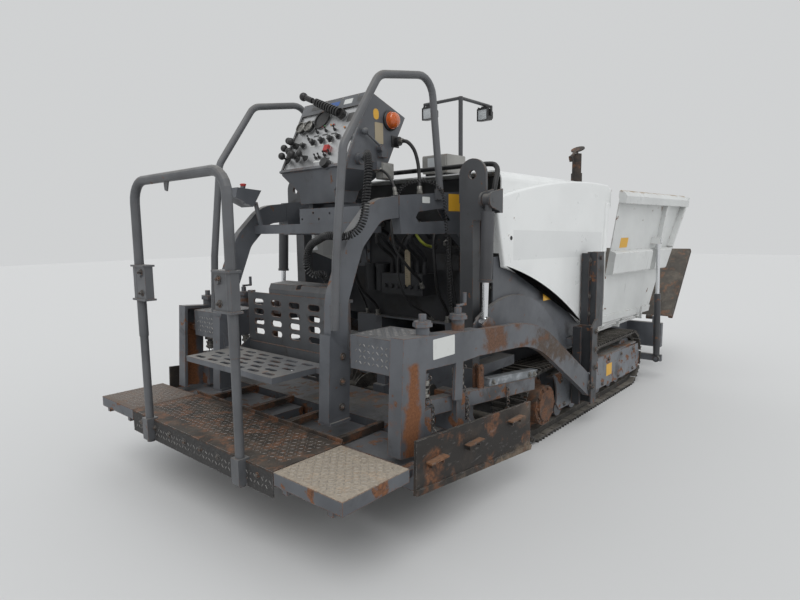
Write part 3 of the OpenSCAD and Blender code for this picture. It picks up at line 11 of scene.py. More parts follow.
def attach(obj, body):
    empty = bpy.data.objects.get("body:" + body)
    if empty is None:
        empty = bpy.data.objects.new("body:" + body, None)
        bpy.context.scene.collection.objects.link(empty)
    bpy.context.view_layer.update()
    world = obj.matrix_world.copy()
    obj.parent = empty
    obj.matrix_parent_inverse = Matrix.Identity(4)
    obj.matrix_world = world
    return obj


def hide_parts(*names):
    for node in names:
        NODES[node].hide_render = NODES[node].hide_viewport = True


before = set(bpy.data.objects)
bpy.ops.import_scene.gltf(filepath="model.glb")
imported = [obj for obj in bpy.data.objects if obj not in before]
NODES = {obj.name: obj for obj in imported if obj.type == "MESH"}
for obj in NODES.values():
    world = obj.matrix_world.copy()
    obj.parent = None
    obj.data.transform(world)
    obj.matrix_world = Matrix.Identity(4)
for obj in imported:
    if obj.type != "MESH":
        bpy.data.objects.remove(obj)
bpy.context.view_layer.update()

bl_info = {
    "name": "Asphalt Paver Looks",
    "version": (1, 0, 0),
    "blender": (4, 5, 0),
    "location": "3D View > Sidebar > Paver",
    "description": "Finishes, small parts, cables and stage of a small tracked asphalt paver",
    "category": "Object",
}

# Camera of the photograph
CAMERA_AT = Vector((-3.999, -2.597, 1.45))
CAMERA_YAW = math.radians(41.068)
CAMERA_PITCH = math.radians(7.023)
CAMERA_ROLL = math.radians(-0.756)
CAMERA_LENS = 25.238

# Axes and sides of the machine, which drives along X
UP, FORWARD, BACK, OUT, RIGHT = (0, 0, 1), (1, 0, 0), (-1, 0, 0), (0, 1, 0), (0, -1, 0)
SIDES = (("left", 1), ("right", -1))
MIRROR = Matrix.Scale(-1, 4, OUT)
SMOOTH_ANGLE = math.radians(35)

# Tread plate: spacing of its lugs, half size and height of a lug, bare margin and height of the walkways
TREAD_PITCH = 0.029
LUG_SIZE = (0.0125, 0.0042, 0.0018)
TREAD_MARGIN = 0.02
WALK_TOP = 0.434

# Side frame of the screed: two points on the upper edge of its lower beam, as (x, z)
BEAM_REAR = (-2.010, 0.640)
BEAM_FRONT = (-0.830, 0.520)

MATERIALS = {}


# Places


def shift(x, y, z):
    """Move by three distances."""
    return Matrix.Translation((x, y, z))


def turn_by(degrees, axis):
    """Turn about an axis."""
    return Matrix.Rotation(math.radians(degrees), 4, axis)


def along(axis):
    """Turn that points local Z along an axis."""
    return Vector(axis).normalized().to_track_quat("Z", "Y").to_matrix().to_4x4()


def frame_at(at, z_axis, x_axis=FORWARD):
    """Frame at a point with its Z along one axis and its X as near as can be to another."""
    z = Vector(z_axis).normalized()
    y = z.cross(Vector(x_axis)).normalized()
    turn = Matrix((y.cross(z), y, z)).transposed().to_4x4()
    return Matrix.Translation(at) @ turn


def from_panel():
    """Frame on the console's sloped face: X to the operator's right, Y up the face, Z out of it."""
    run, rise = 0.215, 0.431
    turn = Matrix.Rotation(math.atan2(run, rise), 4, "Y") @ turn_by(-90, "Z") @ turn_by(90, "X")
    return shift(-1.790, 0, 1.813) @ turn


def on_panel(x, y, z=0.0):
    """Frame on the console's sloped face, from millimetres across it, up it and out of it."""
    return from_panel() @ shift(x / 1000, y / 1000, z / 1000)


def on_console_side(x, z):
    """Frame on the console's right side, facing out of it."""
    return frame_at((x, -0.290, z), RIGHT)


def from_wing(side):
    """Frame on a wing's sheet: X forward along it, Z up it, Y out of the machine."""
    place = shift(0.684, 0.740, 0.610) @ (turn_by(4, "Z") @ turn_by(-9, "X"))
    return MIRROR @ place if side < 0 else place


def surface_point(node, start, towards):
    """First point of a solid on a line from a start, and the surface's normal there."""
    mesh = NODES[node].data
    mesh.calc_loop_triangles()
    corners = [v.co.copy() for v in mesh.vertices]
    tree = BVHTree.FromPolygons(corners, [tuple(t.vertices) for t in mesh.loop_triangles])
    at, normal, _, _ = tree.ray_cast(Vector(start), Vector(towards).normalized())
    if at is None:
        raise RuntimeError("no surface of %s from %s" % (node, tuple(start)))
    return at, normal


# Selection and mesh helpers


def deselect():
    """Leave every object out of the selection."""
    if bpy.context.object and bpy.context.object.mode != "OBJECT":
        bpy.ops.object.mode_set(mode="OBJECT")
    bpy.ops.object.select_all(action="DESELECT")


def pick(obj, *more):
    """Select these objects and make the first one active."""
    deselect()
    for o in (obj, *more):
        o.select_set(True)
    bpy.context.view_layer.objects.active = obj
    return obj


def bake_place(obj):
    """Move an object's place, turn and scale into its mesh."""
    pick(obj)
    bpy.ops.object.transform_apply(location=True, rotation=True, scale=True)
    return obj


def carry(obj, place):
    """Move an object's mesh by a matrix, and keep its faces outwards if that mirrors it."""
    obj.data.transform(place)
    if place.determinant() < 0:
        obj.data.flip_normals()
    return obj


def modify(obj, kind, **settings):
    """Add a modifier with these settings and apply it."""
    pick(obj)
    bpy.ops.object.modifier_add(type=kind)
    modifier = obj.modifiers[-1]
    for key, value in settings.items():
        setattr(modifier, key, value)
    bpy.ops.object.modifier_apply(modifier=modifier.name)
    return obj


def round_edges(obj, width, angle=40):
    """Bevel the edges that are sharper than an angle."""
    limit = math.radians(angle)
    return modify(obj, "BEVEL", width=width, segments=2, limit_method="ANGLE", angle_limit=limit)


def repeat(obj, count, step):
    """Row of copies in one mesh, a step apart."""
    return modify(
        obj, "ARRAY", count=count, use_relative_offset=False, use_constant_offset=True,
        constant_offset_displace=step)


def block(lo, hi, bevel=0.0):
    """Box between two corners with bevelled edges."""
    lo, hi = Vector(lo), Vector(hi)
    deselect()
    bpy.ops.mesh.primitive_cube_add(size=1, location=(lo + hi) / 2, scale=hi - lo)
    obj = bake_place(bpy.context.object)
    return round_edges(obj, bevel) if bevel else obj


def barrel(at, axis, radius, depth, sides=24, bevel=0.0):
    """Round bar that starts at a point and runs along an axis."""
    deselect()
    bpy.ops.mesh.primitive_cylinder_add(vertices=sides, radius=radius, depth=depth)
    obj = bpy.context.object
    middle = Vector(at) + Vector(axis).normalized() * depth / 2
    obj.matrix_world = Matrix.Translation(middle) @ along(axis)
    bake_place(obj)
    return round_edges(obj, bevel, angle=60) if bevel else obj


def hoop(radius, wire, place):
    """Ring of round wire, moved to a place."""
    deselect()
    bpy.ops.mesh.primitive_torus_add(
        major_segments=16, minor_segments=6, major_radius=radius, minor_radius=wire)
    return carry(bpy.context.object, place)


def joined(name, pieces):
    """One object from several, with a name."""
    pick(*pieces)
    if len(pieces) > 1:
        bpy.ops.object.join()
    obj = bpy.context.object
    obj.name = name
    obj.data.name = name
    return obj


def copied(obj, place):
    """Copy of an object with its own mesh, moved to a place."""
    copy = obj.copy()
    copy.data = obj.data.copy()
    copy.data.transform(place)
    bpy.context.scene.collection.objects.link(copy)
    return copy


def outward(obj):
    """Point every face outwards."""
    pick(obj)
    bpy.ops.object.mode_set(mode="EDIT")
    bpy.ops.mesh.select_all(action="SELECT")
    bpy.ops.mesh.normals_make_consistent(inside=False)
    bpy.ops.object.mode_set(mode="OBJECT")
    return obj


def done(obj, finish, body="tractor"):
    """Last steps of every piece: shading, material and body."""
    pick(obj)
    bpy.ops.object.shade_smooth_by_angle(angle=SMOOTH_ANGLE)
    obj.data.materials.clear()
    obj.data.materials.append(MATERIALS[finish])
    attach(obj, body)


def prism(outline, depth, bevel=0.0):
    """Plate from an outline in the XY plane, as thick as depth, with bevelled edges."""
    deselect()
    bpy.ops.mesh.primitive_circle_add(vertices=len(outline), radius=1, fill_type="NGON")
    obj = bpy.context.object
    for vertex, point in zip(obj.data.vertices, outline):
        vertex.co = (point[0], point[1], 0)
    bpy.ops.object.mode_set(mode="EDIT")
    bpy.ops.mesh.select_all(action="SELECT")
    bpy.ops.mesh.extrude_region_move(TRANSFORM_OT_translate={"value": (0, 0, depth)})
    bpy.ops.object.mode_set(mode="OBJECT")
    outward(obj)
    return round_edges(obj, bevel) if bevel else obj


def turned(profile, sides=28):
    """Round piece about Z from a profile of (radius, height), closed at both ends on the axis."""
    deselect()
    bpy.ops.mesh.primitive_circle_add(vertices=sides, radius=profile[0][0])
    obj = carry(bpy.context.object, shift(0, 0, profile[0][1]))
    bpy.ops.object.mode_set(mode="EDIT")
    bpy.ops.mesh.select_all(action="SELECT")
    bpy.ops.mesh.edge_face_add()
    for (r0, z0), (r1, z1) in zip(profile, profile[1:]):
        bpy.ops.mesh.extrude_region_move(TRANSFORM_OT_translate={"value": (0, 0, z1 - z0)})
        bpy.ops.transform.resize(value=(r1 / r0, r1 / r0, 1), center_override=(0, 0, z1))
    bpy.ops.object.mode_set(mode="OBJECT")
    return outward(obj)


def smooth_route(points, steps):
    """Smooth curve through points, with some steps between each two."""
    line = []
    last = len(points) - 1
    for i in range(last):
        a, b, c, d = (Vector(points[max(0, min(last, i + k))]) for k in (-1, 0, 1, 2))
        for k in range(steps):
            t = k / steps
            square = (2 * a - 5 * b + 4 * c - d) * t * t
            cube = (3 * b - a - 3 * c + d) * t ** 3
            line.append(0.5 * (2 * b + (c - a) * t + square + cube))
    return line + [Vector(points[-1])]


def route_length(line):
    """Length of a line through points."""
    return sum((b - a).length for a, b in zip(line, line[1:]))


def curled(line, radius, pitch, lead=0.03, per_turn=14):
    """Curl that winds round a line, and starts and ends on it."""
    whole = route_length(line)
    count = int(whole / pitch * per_turn)
    spots = [0.0]
    for a, b in zip(line, line[1:]):
        spots.append(spots[-1] + (b - a).length)
    made, k, across = [], 0, None
    for i in range(count + 1):
        s = whole * i / count
        while k < len(spots) - 2 and spots[k + 1] < s:
            k += 1
        t = (s - spots[k]) / (spots[k + 1] - spots[k])
        at = line[k].lerp(line[k + 1], t)
        ahead = (line[min(k + 2, len(line) - 1)] - line[max(k - 1, 0)]).normalized()
        if across is None:
            across = ahead.orthogonal().normalized()
        across = (across - ahead * across.dot(ahead)).normalized()
        r = radius * min(1.0, s / lead, (whole - s) / lead)
        a = 2 * math.pi * s / pitch
        made.append(at + (across * math.cos(a) + ahead.cross(across) * math.sin(a)) * r)
    return made


def strand(name, points, radius, finish, fineness=2):
    """Round cord through points: a curve of one open spline that rides on the tractor."""
    data = bpy.data.curves.new(name, "CURVE")
    data.dimensions = "3D"
    data.bevel_depth = radius
    data.bevel_resolution = fineness
    data.use_fill_caps = True
    spline = data.splines.new("POLY")
    spline.points.add(len(points) - 1)
    for point, at in zip(spline.points, points):
        point.co = (*at, 1)
    spline.use_smooth = True
    data.materials.append(MATERIALS[finish])
    obj = bpy.data.objects.new(name, data)
    bpy.context.scene.collection.objects.link(obj)
    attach(obj, "tractor")
    return obj


# Small parts that come more than once


def screw():
    """Low screw head that stands on the XY plane."""
    return turned([(0.0055, 0), (0.0055, 0.0012), (0.004, 0.0026), (0.001, 0.003)], 14)


def hex_bolt(size, shank=0.0):
    """Hexagon bolt head with its washer, standing on the XY plane. Size is the width over the flats."""
    parts = [
        barrel((0, 0, -0.0005), UP, size * 0.92, size * 0.14 + 0.0005, 14),
        barrel((0, 0, size * 0.12), UP, size * 0.577, size * 0.42, 6, bevel=size * 0.05),
    ]
    if shank:
        parts.append(barrel((0, 0, size * 0.5), UP, size * 0.3, shank, 10, bevel=size * 0.03))
    return joined("bolt", parts)


def bolt_rows(name, rows, body):
    """Bolts in rows on both sides.
    Columns of a row: width over the flats, first place, last place, count, axis, shank."""
    made = []
    for size, first, last, count, axis, shank in rows:
        spots = [Vector(first).lerp(Vector(last), i / max(1, count - 1)) for i in range(count)]
        places = [frame_at(spot, axis, (0.3, 0.2, 1)) for spot in spots]
        model = hex_bolt(size, shank)
        made += [copied(model, p) for p in places + [MIRROR @ p for p in places]]
        bpy.data.objects.remove(model)
    done(outward(joined(name, made)), "bolt", body)


def tread(name, place, width, height, finish, body="screed", pitch=TREAD_PITCH):
    """Raised lugs of tread plate over a rectangle of a frame's XY plane, from its origin along X and Y."""
    lugs = []
    for x, angle in ((0.0, 45), (pitch, -45)):
        deselect()
        bpy.ops.mesh.primitive_cone_add(vertices=6, radius1=1, radius2=0.55, depth=1)
        lug_place = shift(x, 0, 0) @ turn_by(angle, "Z") @ Matrix.Diagonal((*LUG_SIZE, 1))
        lugs.append(carry(bpy.context.object, lug_place))
    pair = joined(name, lugs)
    repeat(pair, int((width - TREAD_MARGIN) / (2 * pitch)), (2 * pitch, 0, 0))
    pair = joined(name, [pair, copied(pair, shift(pitch, pitch, 0))])
    repeat(pair, max(1, int((height - TREAD_MARGIN) / pitch) // 2), (0, 2 * pitch, 0))
    start = TREAD_MARGIN + pitch / 2
    carry(pair, place @ shift(start, start, 0.0004))
    done(outward(pair), finish, body)


def blank_plate(place, width, height, finish, body="tractor", thick=0.0012, corner=0.004):
    """Blank sticker or sign: a thin plate with round corners, its middle at a frame's origin."""
    w, h = width / 2 - corner, height / 2 - corner
    outline = []
    for x, y, start in ((w, h, 0), (-w, h, 90), (-w, -h, 180), (w, -h, 270)):
        for step in range(4):
            a = math.radians(start + step * 30)
            outline.append((x + corner * math.cos(a), y + corner * math.sin(a)))
    done(carry(prism(outline, thick), place), finish, body)


def ribbed(radius):
    """Outline of a round knob with ribs."""
    rib_shade, depth = 18, 0.0010
    outline = []
    for k in range(2 * rib_shade):
        r = radius + (depth if k % 2 else 0.0)
        a = math.pi * k / rib_shade
        outline.append((r * math.cos(a), r * math.sin(a)))
    return outline


def chain(x, y, z, across=0.0085, wire=0.0024):
    """Short chain that hangs from a point, its links turned by turns, with a ring at its end."""
    made, links = [], 5
    for k in range(links + 1):
        last = k == links
        place = shift(x, y, z - (across * 2.1 * k + (across * 1.3 if last else 0)))
        place = place @ (turn_by(90 * (k % 2), "Z") @ turn_by(90, "X"))
        place = place @ Matrix.Diagonal((1, 1 if last else 1.35, 1, 1))
        made.append(hoop(across * (2.2 if last else 1.0), wire * (1.3 if last else 1.0), place))
    return made


def beam_top(x):
    """Height of the lower beam's top edge at a place along the screed's side."""
    (x0, z0), (x1, z1) = BEAM_REAR, BEAM_FRONT
    return z0 + (x - x0) * (z1 - z0) / (x1 - x0)


# Shader helpers


class Graph:
    """Adds nodes to a tree and feeds their inputs with sockets or plain values."""

    def __init__(self, tree):
        self.tree = tree

    def feed(self, socket, value):
        if isinstance(value, bpy.types.NodeSocket):
            self.tree.links.new(value, socket)
        elif value is not None:
            socket.default_value = value

    def fill(self, made, values):
        """Feed a node's inputs by their names."""
        for label, value in values.items():
            self.feed(made.inputs[label], value)
        return made

    def add(self, kind, *inputs, **settings):
        made = self.tree.nodes.new(kind)
        for key, value in settings.items():
            setattr(made, key, value)
        for socket, value in zip(made.inputs, inputs):
            self.feed(socket, value)
        return made

    def math(self, operation, a, b=None, clamp=False):
        return self.add("ShaderNodeMath", a, b, operation=operation, use_clamp=clamp).outputs[0]

    def times(self, a, b, clamp=False):
        return self.math("MULTIPLY", a, b, clamp)

    def plus(self, a, b):
        return self.math("ADD", a, b)

    def minus(self, a, b):
        return self.math("SUBTRACT", a, b)

    def most(self, a, b):
        return self.math("MAXIMUM", a, b)

    def within(self, value, low, high):
        """One where a value lies between two others, and nothing elsewhere."""
        return self.times(self.math("GREATER_THAN", value, low), self.math("LESS_THAN", value, high))

    def vector(self, operation, a, b=None):
        return self.add("ShaderNodeVectorMath", a, b, operation=operation)

    def split(self, vector):
        return self.add("ShaderNodeSeparateXYZ", vector).outputs

    def normal(self):
        return self.add("ShaderNodeNewGeometry").outputs["Normal"]

    def ramp(self, value, low, high, bottom=0.0, top=1.0):
        made = self.add("ShaderNodeMapRange", value, low, high, bottom, top)
        made.interpolation_type = "SMOOTHSTEP"
        return made.outputs[0]

    def high_parts(self, value, start, amount, span, soft):
        """Mask of where a value is high. It covers more as the amount rises."""
        low = self.minus(start, self.times(amount, span))
        return self.ramp(value, low, self.plus(low, soft))

    def noise(self, place, scale, detail=4.0, rough=0.55, bent=0.0):
        values = {"Vector": place, "Scale": scale, "Detail": detail, "Roughness": rough, "Distortion": bent}
        return self.fill(self.add("ShaderNodeTexNoise"), values).outputs[0]

    def scaled(self, place, scale):
        return self.fill(self.add("ShaderNodeMapping"), {"Vector": place, "Scale": scale}).outputs[0]

    def mix(self, factor, a, b):
        made = self.add("ShaderNodeMix", data_type="RGBA")
        for socket, value in ((0, factor), (6, a), (7, b)):
            self.feed(made.inputs[socket], value)
        return made.outputs[2]

    def bump(self, height, strength, distance):
        values = {"Strength": strength, "Distance": distance, "Height": height}
        return self.fill(self.add("ShaderNodeBump"), values).outputs[0]

    def shared(self, key, **values):
        """Place a shared group with its own values, and return its outputs."""
        return self.fill(self.add("ShaderNodeGroup", node_tree=GROUPS[key]), values).outputs


# Shared node groups

GROUPS = {}


def new_group(key, name, outputs, **inputs):
    """Empty shared group with a place and these other inputs. Returns its graph, inputs and outputs."""
    tree = bpy.data.node_groups.new(name, "ShaderNodeTree")
    for label, value in {"Place": (0.0, 0.0, 0.0), **inputs}.items():
        kind = "NodeSocketVector" if isinstance(value, tuple) else "NodeSocketFloat"
        tree.interface.new_socket(label, in_out="INPUT", socket_type=kind).default_value = value
    for label in outputs:
        tree.interface.new_socket(label, in_out="OUTPUT", socket_type="NodeSocketFloat")
    GROUPS[key] = tree
    return Graph(tree), tree.nodes.new("NodeGroupInput").outputs, tree.nodes.new("NodeGroupOutput").inputs


def edge_wear_group():
    """Mask of worn edges: where a rounded normal leaves the true one, broken up by noise."""
    g, given, out = new_group("wear", "Edge wear", ["Mask"], Width=0.006, Amount=0.5, Scale=18.0)
    rounded = g.add("ShaderNodeBevel", given["Width"], samples=4).outputs[0]
    dot = g.vector("DOT_PRODUCT", rounded, g.normal()).outputs["Value"]
    edge = g.ramp(g.minus(1.0, dot), 0.01, 0.12)
    grit = g.noise(given["Place"], given["Scale"], 6.0, 0.65)
    kept = g.high_parts(grit, 0.72, given["Amount"], 0.45, 0.08)
    g.feed(out["Mask"], g.times(edge, kept, clamp=True))


def dust_group():
    """Mask of dust that lies on faces that look up, thicker in patches."""
    g, given, out = new_group("dust", "Settled dust", ["Mask"], Amount=0.5, Scale=3.0)
    facing = g.ramp(g.split(g.normal())["Z"], 0.15, 0.95)
    cloud = g.ramp(g.noise(given["Place"], given["Scale"], 7.0, 0.62), 0.32, 0.68)
    mask = g.times(facing, g.plus(g.times(cloud, 0.7), 0.3))
    g.feed(out["Mask"], g.times(mask, given["Amount"], clamp=True))


def blotch_group():
    """Mask of irregular patches, such as rust or stains. Cover goes from none to all."""
    g, given, out = new_group("blotch", "Blotches", ["Mask", "Shade"], Scale=6.0, Cover=0.3, Softness=0.08)
    big = g.noise(given["Place"], given["Scale"], 8.0, 0.62, 0.4)
    g.feed(out["Mask"], g.high_parts(big, 0.70, given["Cover"], 0.42, given["Softness"]))
    fine = g.noise(given["Place"], g.times(given["Scale"], 7.0), 5.0, 0.7)
    g.feed(out["Shade"], g.ramp(fine, 0.3, 0.7))


def streak_group():
    """Mask of dirt that has run down an upright face."""
    g, given, out = new_group("streak", "Runs of dirt", ["Mask"], Scale=14.0, Cover=0.4)
    lines = g.noise(g.scaled(given["Place"], (1.0, 1.0, 0.09)), given["Scale"], 4.0, 0.6)
    patches = g.noise(given["Place"], 2.4, 3.0, 0.5)
    runs = g.high_parts(lines, 0.72, given["Cover"], 0.36, 0.16)
    upright = g.ramp(g.math("ABSOLUTE", g.split(g.normal())["Z"]), 0.9, 0.4)
    both = g.times(runs, g.ramp(patches, 0.38, 0.62))
    g.feed(out["Mask"], g.times(both, upright, clamp=True))


def zone_group():
    """Mask of a box in space with a ragged edge, for wear that sits in one place."""
    g, given, out = new_group(
        "zone", "Zone", ["Mask"], Centre=(0.0, 0.0, 0.0), Half=(0.1, 0.1, 0.1), Rag=0.03, Scale=14.0)
    off = g.vector("ABSOLUTE", g.vector("SUBTRACT", given["Place"], given["Centre"]).outputs[0]).outputs[0]
    x, y, z = g.split(g.vector("SUBTRACT", off, given["Half"]).outputs[0])
    rag = g.times(g.minus(g.noise(given["Place"], given["Scale"], 9.0, 0.65), 0.5), 4.0)
    far = g.plus(g.most(g.most(x, y), z), g.times(rag, given["Rag"]))
    soft = g.plus(g.times(given["Rag"], 0.5), 0.004)
    g.feed(out["Mask"], g.ramp(g.math("DIVIDE", far, soft), 1.0, -1.0))


def build_groups():
    """Make the shared node groups once."""
    edge_wear_group()
    dust_group()
    blotch_group()
    streak_group()
    zone_group()


# Finishes

RUST_DARK = (0.075, 0.036, 0.021, 1)
RUST_LIGHT = (0.23, 0.095, 0.04, 1)
DUST = (0.30, 0.275, 0.235, 1)
GRIME = (0.045, 0.040, 0.035, 1)
STEEL = (0.33, 0.32, 0.31, 1)
ORANGE_RUST = (0.22, 0.085, 0.032)
BROWN_RUST = (0.155, 0.078, 0.046)
CLEAN = {"fade": 0.03, "rough": 0.34, "coat": 0.25, "orange_peel": 0.03}


def rgba(colour, scale=1.0):
    """Opaque colour, made darker by a scale."""
    return (*(c * scale for c in tuple(colour)[:3]), 1.0)


def graph_of(material):
    """Graph of a material, its Principled shader and its object coordinates."""
    g = Graph(material.node_tree)
    return g, material.node_tree.nodes["Principled BSDF"], g.add("ShaderNodeTexCoord").outputs["Object"]


def new_material(name, colour):
    """Material with its graph, its Principled shader and its object coordinates."""
    material = bpy.data.materials.new(name)
    material.use_nodes = True
    material.diffuse_color = rgba(colour)
    return material, *graph_of(material)


def with_zones(g, place, colour, shade, zones, dim):
    """Lay zones of wear over a colour, and return it with the zones' masks.
    A zone is (centre, half size, colour, rag)."""
    masks = []
    for centre, half, tint, rag in zones:
        masks.append(g.shared("zone", Place=place, Centre=centre, Half=half, Rag=rag)["Mask"])
        colour = g.mix(masks[-1], colour, g.mix(shade, rgba(tint, dim), rgba(tint)))
    return colour, masks


def paint(name, base, rust, dirt, dust, wear, *, fade=0.15, wear_width=0.006, rough=0.45, streaks=0.3,
          coat=0.0, orange_peel=0.05, zones=()):
    """Painted sheet or plate: faded paint, grime, rust in patches, worn edges and settled dust."""
    material, g, shader, place = new_material(name, base)
    pale = rgba([min(1.0, c * (1 + fade) + fade * 0.05) for c in base])
    colour = g.mix(g.ramp(g.noise(place, 2.2, 6.0, 0.6), 0.35, 0.65), rgba(base, 1 - fade), pale)
    grime = g.shared("blotch", Place=place, Scale=5.0, Cover=dirt, Softness=0.22)["Mask"]
    colour = g.mix(g.times(grime, 0.55), colour, GRIME)
    runs = g.shared("streak", Place=place, Cover=streaks)["Mask"]
    colour = g.mix(g.times(runs, 0.5), colour, GRIME)
    spots = g.shared("blotch", Place=place, Scale=11.0, Cover=rust, Softness=0.05)
    rust_colour = g.mix(spots["Shade"], RUST_DARK, RUST_LIGHT)
    colour = g.mix(spots["Mask"], colour, rust_colour)
    colour, masks = with_zones(g, place, colour, spots["Shade"], zones, 0.55)
    edge = g.shared("wear", Place=place, Width=wear_width, Amount=wear)["Mask"]
    colour = g.mix(edge, colour, rust_colour)
    bare = spots["Mask"]
    for mask in (*masks, edge):
        bare = g.most(bare, mask)
    powder = g.shared("dust", Place=place, Amount=dust)["Mask"]
    rough_paint = g.ramp(g.noise(place, 9.0, 4.0), 0.3, 0.7, rough - 0.07, rough + 0.10)
    dull = g.most(g.most(bare, powder), grime)
    rust_lumps = g.times(bare, g.minus(g.times(spots["Shade"], 0.6), 0.8))
    lumps = g.plus(g.times(g.noise(place, 220.0, 2.0), orange_peel), rust_lumps)
    g.fill(shader, {
        "Base Color": g.mix(powder, colour, DUST),
        "Roughness": g.ramp(dull, 0.0, 1.0, rough_paint, 0.85),
        "Coat Weight": coat,
        "Coat Roughness": 0.25,
        "Normal": g.bump(lumps, 0.5, 0.0012),
    })
    return material


def raw_steel(name, dark, light, rust, dust, scratch, polish, *, scale=7.0, rough=0.75, metal=0.2, zones=()):
    """Bare working steel: two tones, rust patches, scratches that shine and dust."""
    material, g, shader, place = new_material(name, light)
    tone = g.shared("blotch", Place=place, Scale=scale, Cover=0.62, Softness=0.30)["Mask"]
    spots = g.shared("blotch", Place=place, Scale=scale * 1.9, Cover=rust, Softness=0.16)
    rust_colour = g.mix(spots["Shade"], RUST_DARK, RUST_LIGHT)
    colour = g.mix(g.times(spots["Mask"], 0.9), g.mix(tone, rgba(dark), rgba(light)), rust_colour)
    colour, _ = with_zones(g, place, colour, spots["Shade"], zones, 0.6)
    scuff = g.noise(g.scaled(place, (0.25, 1.0, 1.0)), 60.0, 3.0, 0.7)
    edge = g.shared("wear", Place=place, Width=0.004, Amount=polish)["Mask"]
    shine = g.most(g.times(g.ramp(scuff, 0.60, 0.74), scratch), g.times(edge, 0.8))
    powder = g.shared("dust", Place=place, Amount=dust, Scale=5.0)["Mask"]
    pits = g.plus(g.noise(place, 90.0, 5.0, 0.7), g.times(tone, 0.6))
    g.fill(shader, {
        "Base Color": g.mix(powder, g.mix(shine, colour, STEEL), DUST),
        "Roughness": g.ramp(shine, 0.0, 1.0, rough, 0.42),
        "Metallic": g.ramp(shine, 0.0, 1.0, metal, 0.8),
        "Normal": g.bump(pits, 0.55, 0.0016),
    })
    return material


def polished(name, colour):
    """Chromed or ground rod with a film of dust and oil."""
    material, g, shader, place = new_material(name, colour)
    film = g.shared("blotch", Place=place, Scale=12.0, Cover=0.2, Softness=0.3)["Mask"]
    g.fill(shader, {
        "Base Color": g.mix(g.times(film, 0.5), rgba(colour), DUST),
        "Roughness": g.ramp(film, 0.0, 1.0, 0.16, 0.55),
        "Metallic": 1.0,
    })
    return material


def plastic(name, colour, rough, dust, grain=0.2, coat=0.0):
    """Moulded plastic or rubber with a fine grain and some dust."""
    material, g, shader, place = new_material(name, colour)
    powder = g.shared("dust", Place=place, Amount=dust, Scale=14.0)["Mask"]
    scuffs = g.shared("blotch", Place=place, Scale=25.0, Cover=0.35, Softness=0.3)["Mask"]
    tone = g.mix(g.times(scuffs, min(0.35, dust)), rgba(colour), DUST)
    g.fill(shader, {
        "Base Color": g.mix(powder, tone, DUST),
        "Roughness": g.ramp(scuffs, 0.0, 1.0, rough, min(0.9, rough + 0.25)),
        "Coat Weight": coat,
        "Normal": g.bump(g.noise(place, 600.0, 2.0), grain, 0.0004),
    })
    return material


def clear_lens(name, colour):
    """Coloured lens of a lamp, with darker bands painted as the shade of its ribs."""
    material, g, shader, place = new_material(name, colour)
    # Painted shade: darker bands across the lens stand in for the light and shade on its ribs.
    rib_shade = g.add("ShaderNodeTexWave", g.scaled(place, (0, 0, 1)), 90.0).outputs[1]
    tint = g.mix(g.times(rib_shade, 0.25), rgba(colour), rgba(colour, 0.5))
    g.fill(shader, {"Base Color": tint, "Roughness": 0.12, "Coat Weight": 0.6})
    return material


def add_cover_band(material):
    """Pale grey band along the middle of the white side covers."""
    g, shader, place = graph_of(material)
    x, _, z = g.split(place)
    over = g.minus(z, g.plus(g.times(x, -0.02), 1.243))
    along_cover = g.times(g.ramp(x, -0.985, -0.975), g.ramp(x, 0.405, 0.395))
    up_cover = g.times(g.ramp(over, 0.0, 0.004), g.ramp(over, 0.186, 0.182))
    band = g.times(g.times(along_cover, up_cover), 0.35)
    old_colour = shader.inputs["Base Color"].links[0].from_socket
    g.feed(shader.inputs["Base Color"], g.mix(band, old_colour, (0.52, 0.53, 0.53, 1)))


def add_console_face(material):
    """A worn light plate on the console's sloped face, and black controls with one red button."""
    g, shader, place = graph_of(material)
    at, turn = from_panel().to_translation(), from_panel().to_euler()
    local = g.add("ShaderNodeMapping", place, at, turn, vector_type="TEXTURE").outputs[0]
    x, y, z = g.split(local)
    inside = g.times(g.within(x, -0.2745, 0.2745), g.within(y, 0.0155, 0.3985))
    plate = g.times(inside, g.within(z, -0.002, 0.0042))
    above_plate = g.times(inside, g.math("GREATER_THAN", z, 0.0042))
    raised = g.most(above_plate, g.math("GREATER_THAN", z, 0.0172))
    red = g.times(raised, g.times(g.within(x, 0.0615, 0.1005), g.within(y, 0.1075, 0.1465)))
    stains = g.shared("blotch", Place=place, Scale=9.0, Cover=0.45, Softness=0.25)
    brushed = g.noise(g.scaled(local, (1.0, 0.05, 1.0)), 180.0, 3.0, 0.6)
    light = g.mix(brushed, (0.47, 0.475, 0.48, 1), (0.64, 0.645, 0.65, 1))
    light = g.mix(g.times(stains["Mask"], 0.45), light, (0.17, 0.16, 0.145, 1))
    black = g.mix(g.times(stains["Shade"], 0.06), (0.010, 0.010, 0.011, 1), DUST)
    old_colour = shader.inputs["Base Color"].links[0].from_socket
    old_rough = shader.inputs["Roughness"].links[0].from_socket
    colour = g.mix(raised, g.mix(plate, old_colour, light), black)
    rough = g.ramp(plate, 0.0, 1.0, old_rough, g.ramp(stains["Mask"], 0.0, 1.0, 0.38, 0.7))
    g.fill(shader, {
        "Base Color": g.mix(red, colour, (0.36, 0.02, 0.016, 1)),
        "Roughness": g.ramp(raised, 0.0, 1.0, rough, 0.42),
        "Metallic": g.times(plate, g.minus(1.0, raised)),
    })


def mirrored(y, rows):
    """Zones of wear on both sides. Columns of a row: place along, place up, half size, colour, rag."""
    return [((x, s * y, z), half, tint, rag) for s in (-1, 1) for x, z, half, tint, rag in rows]


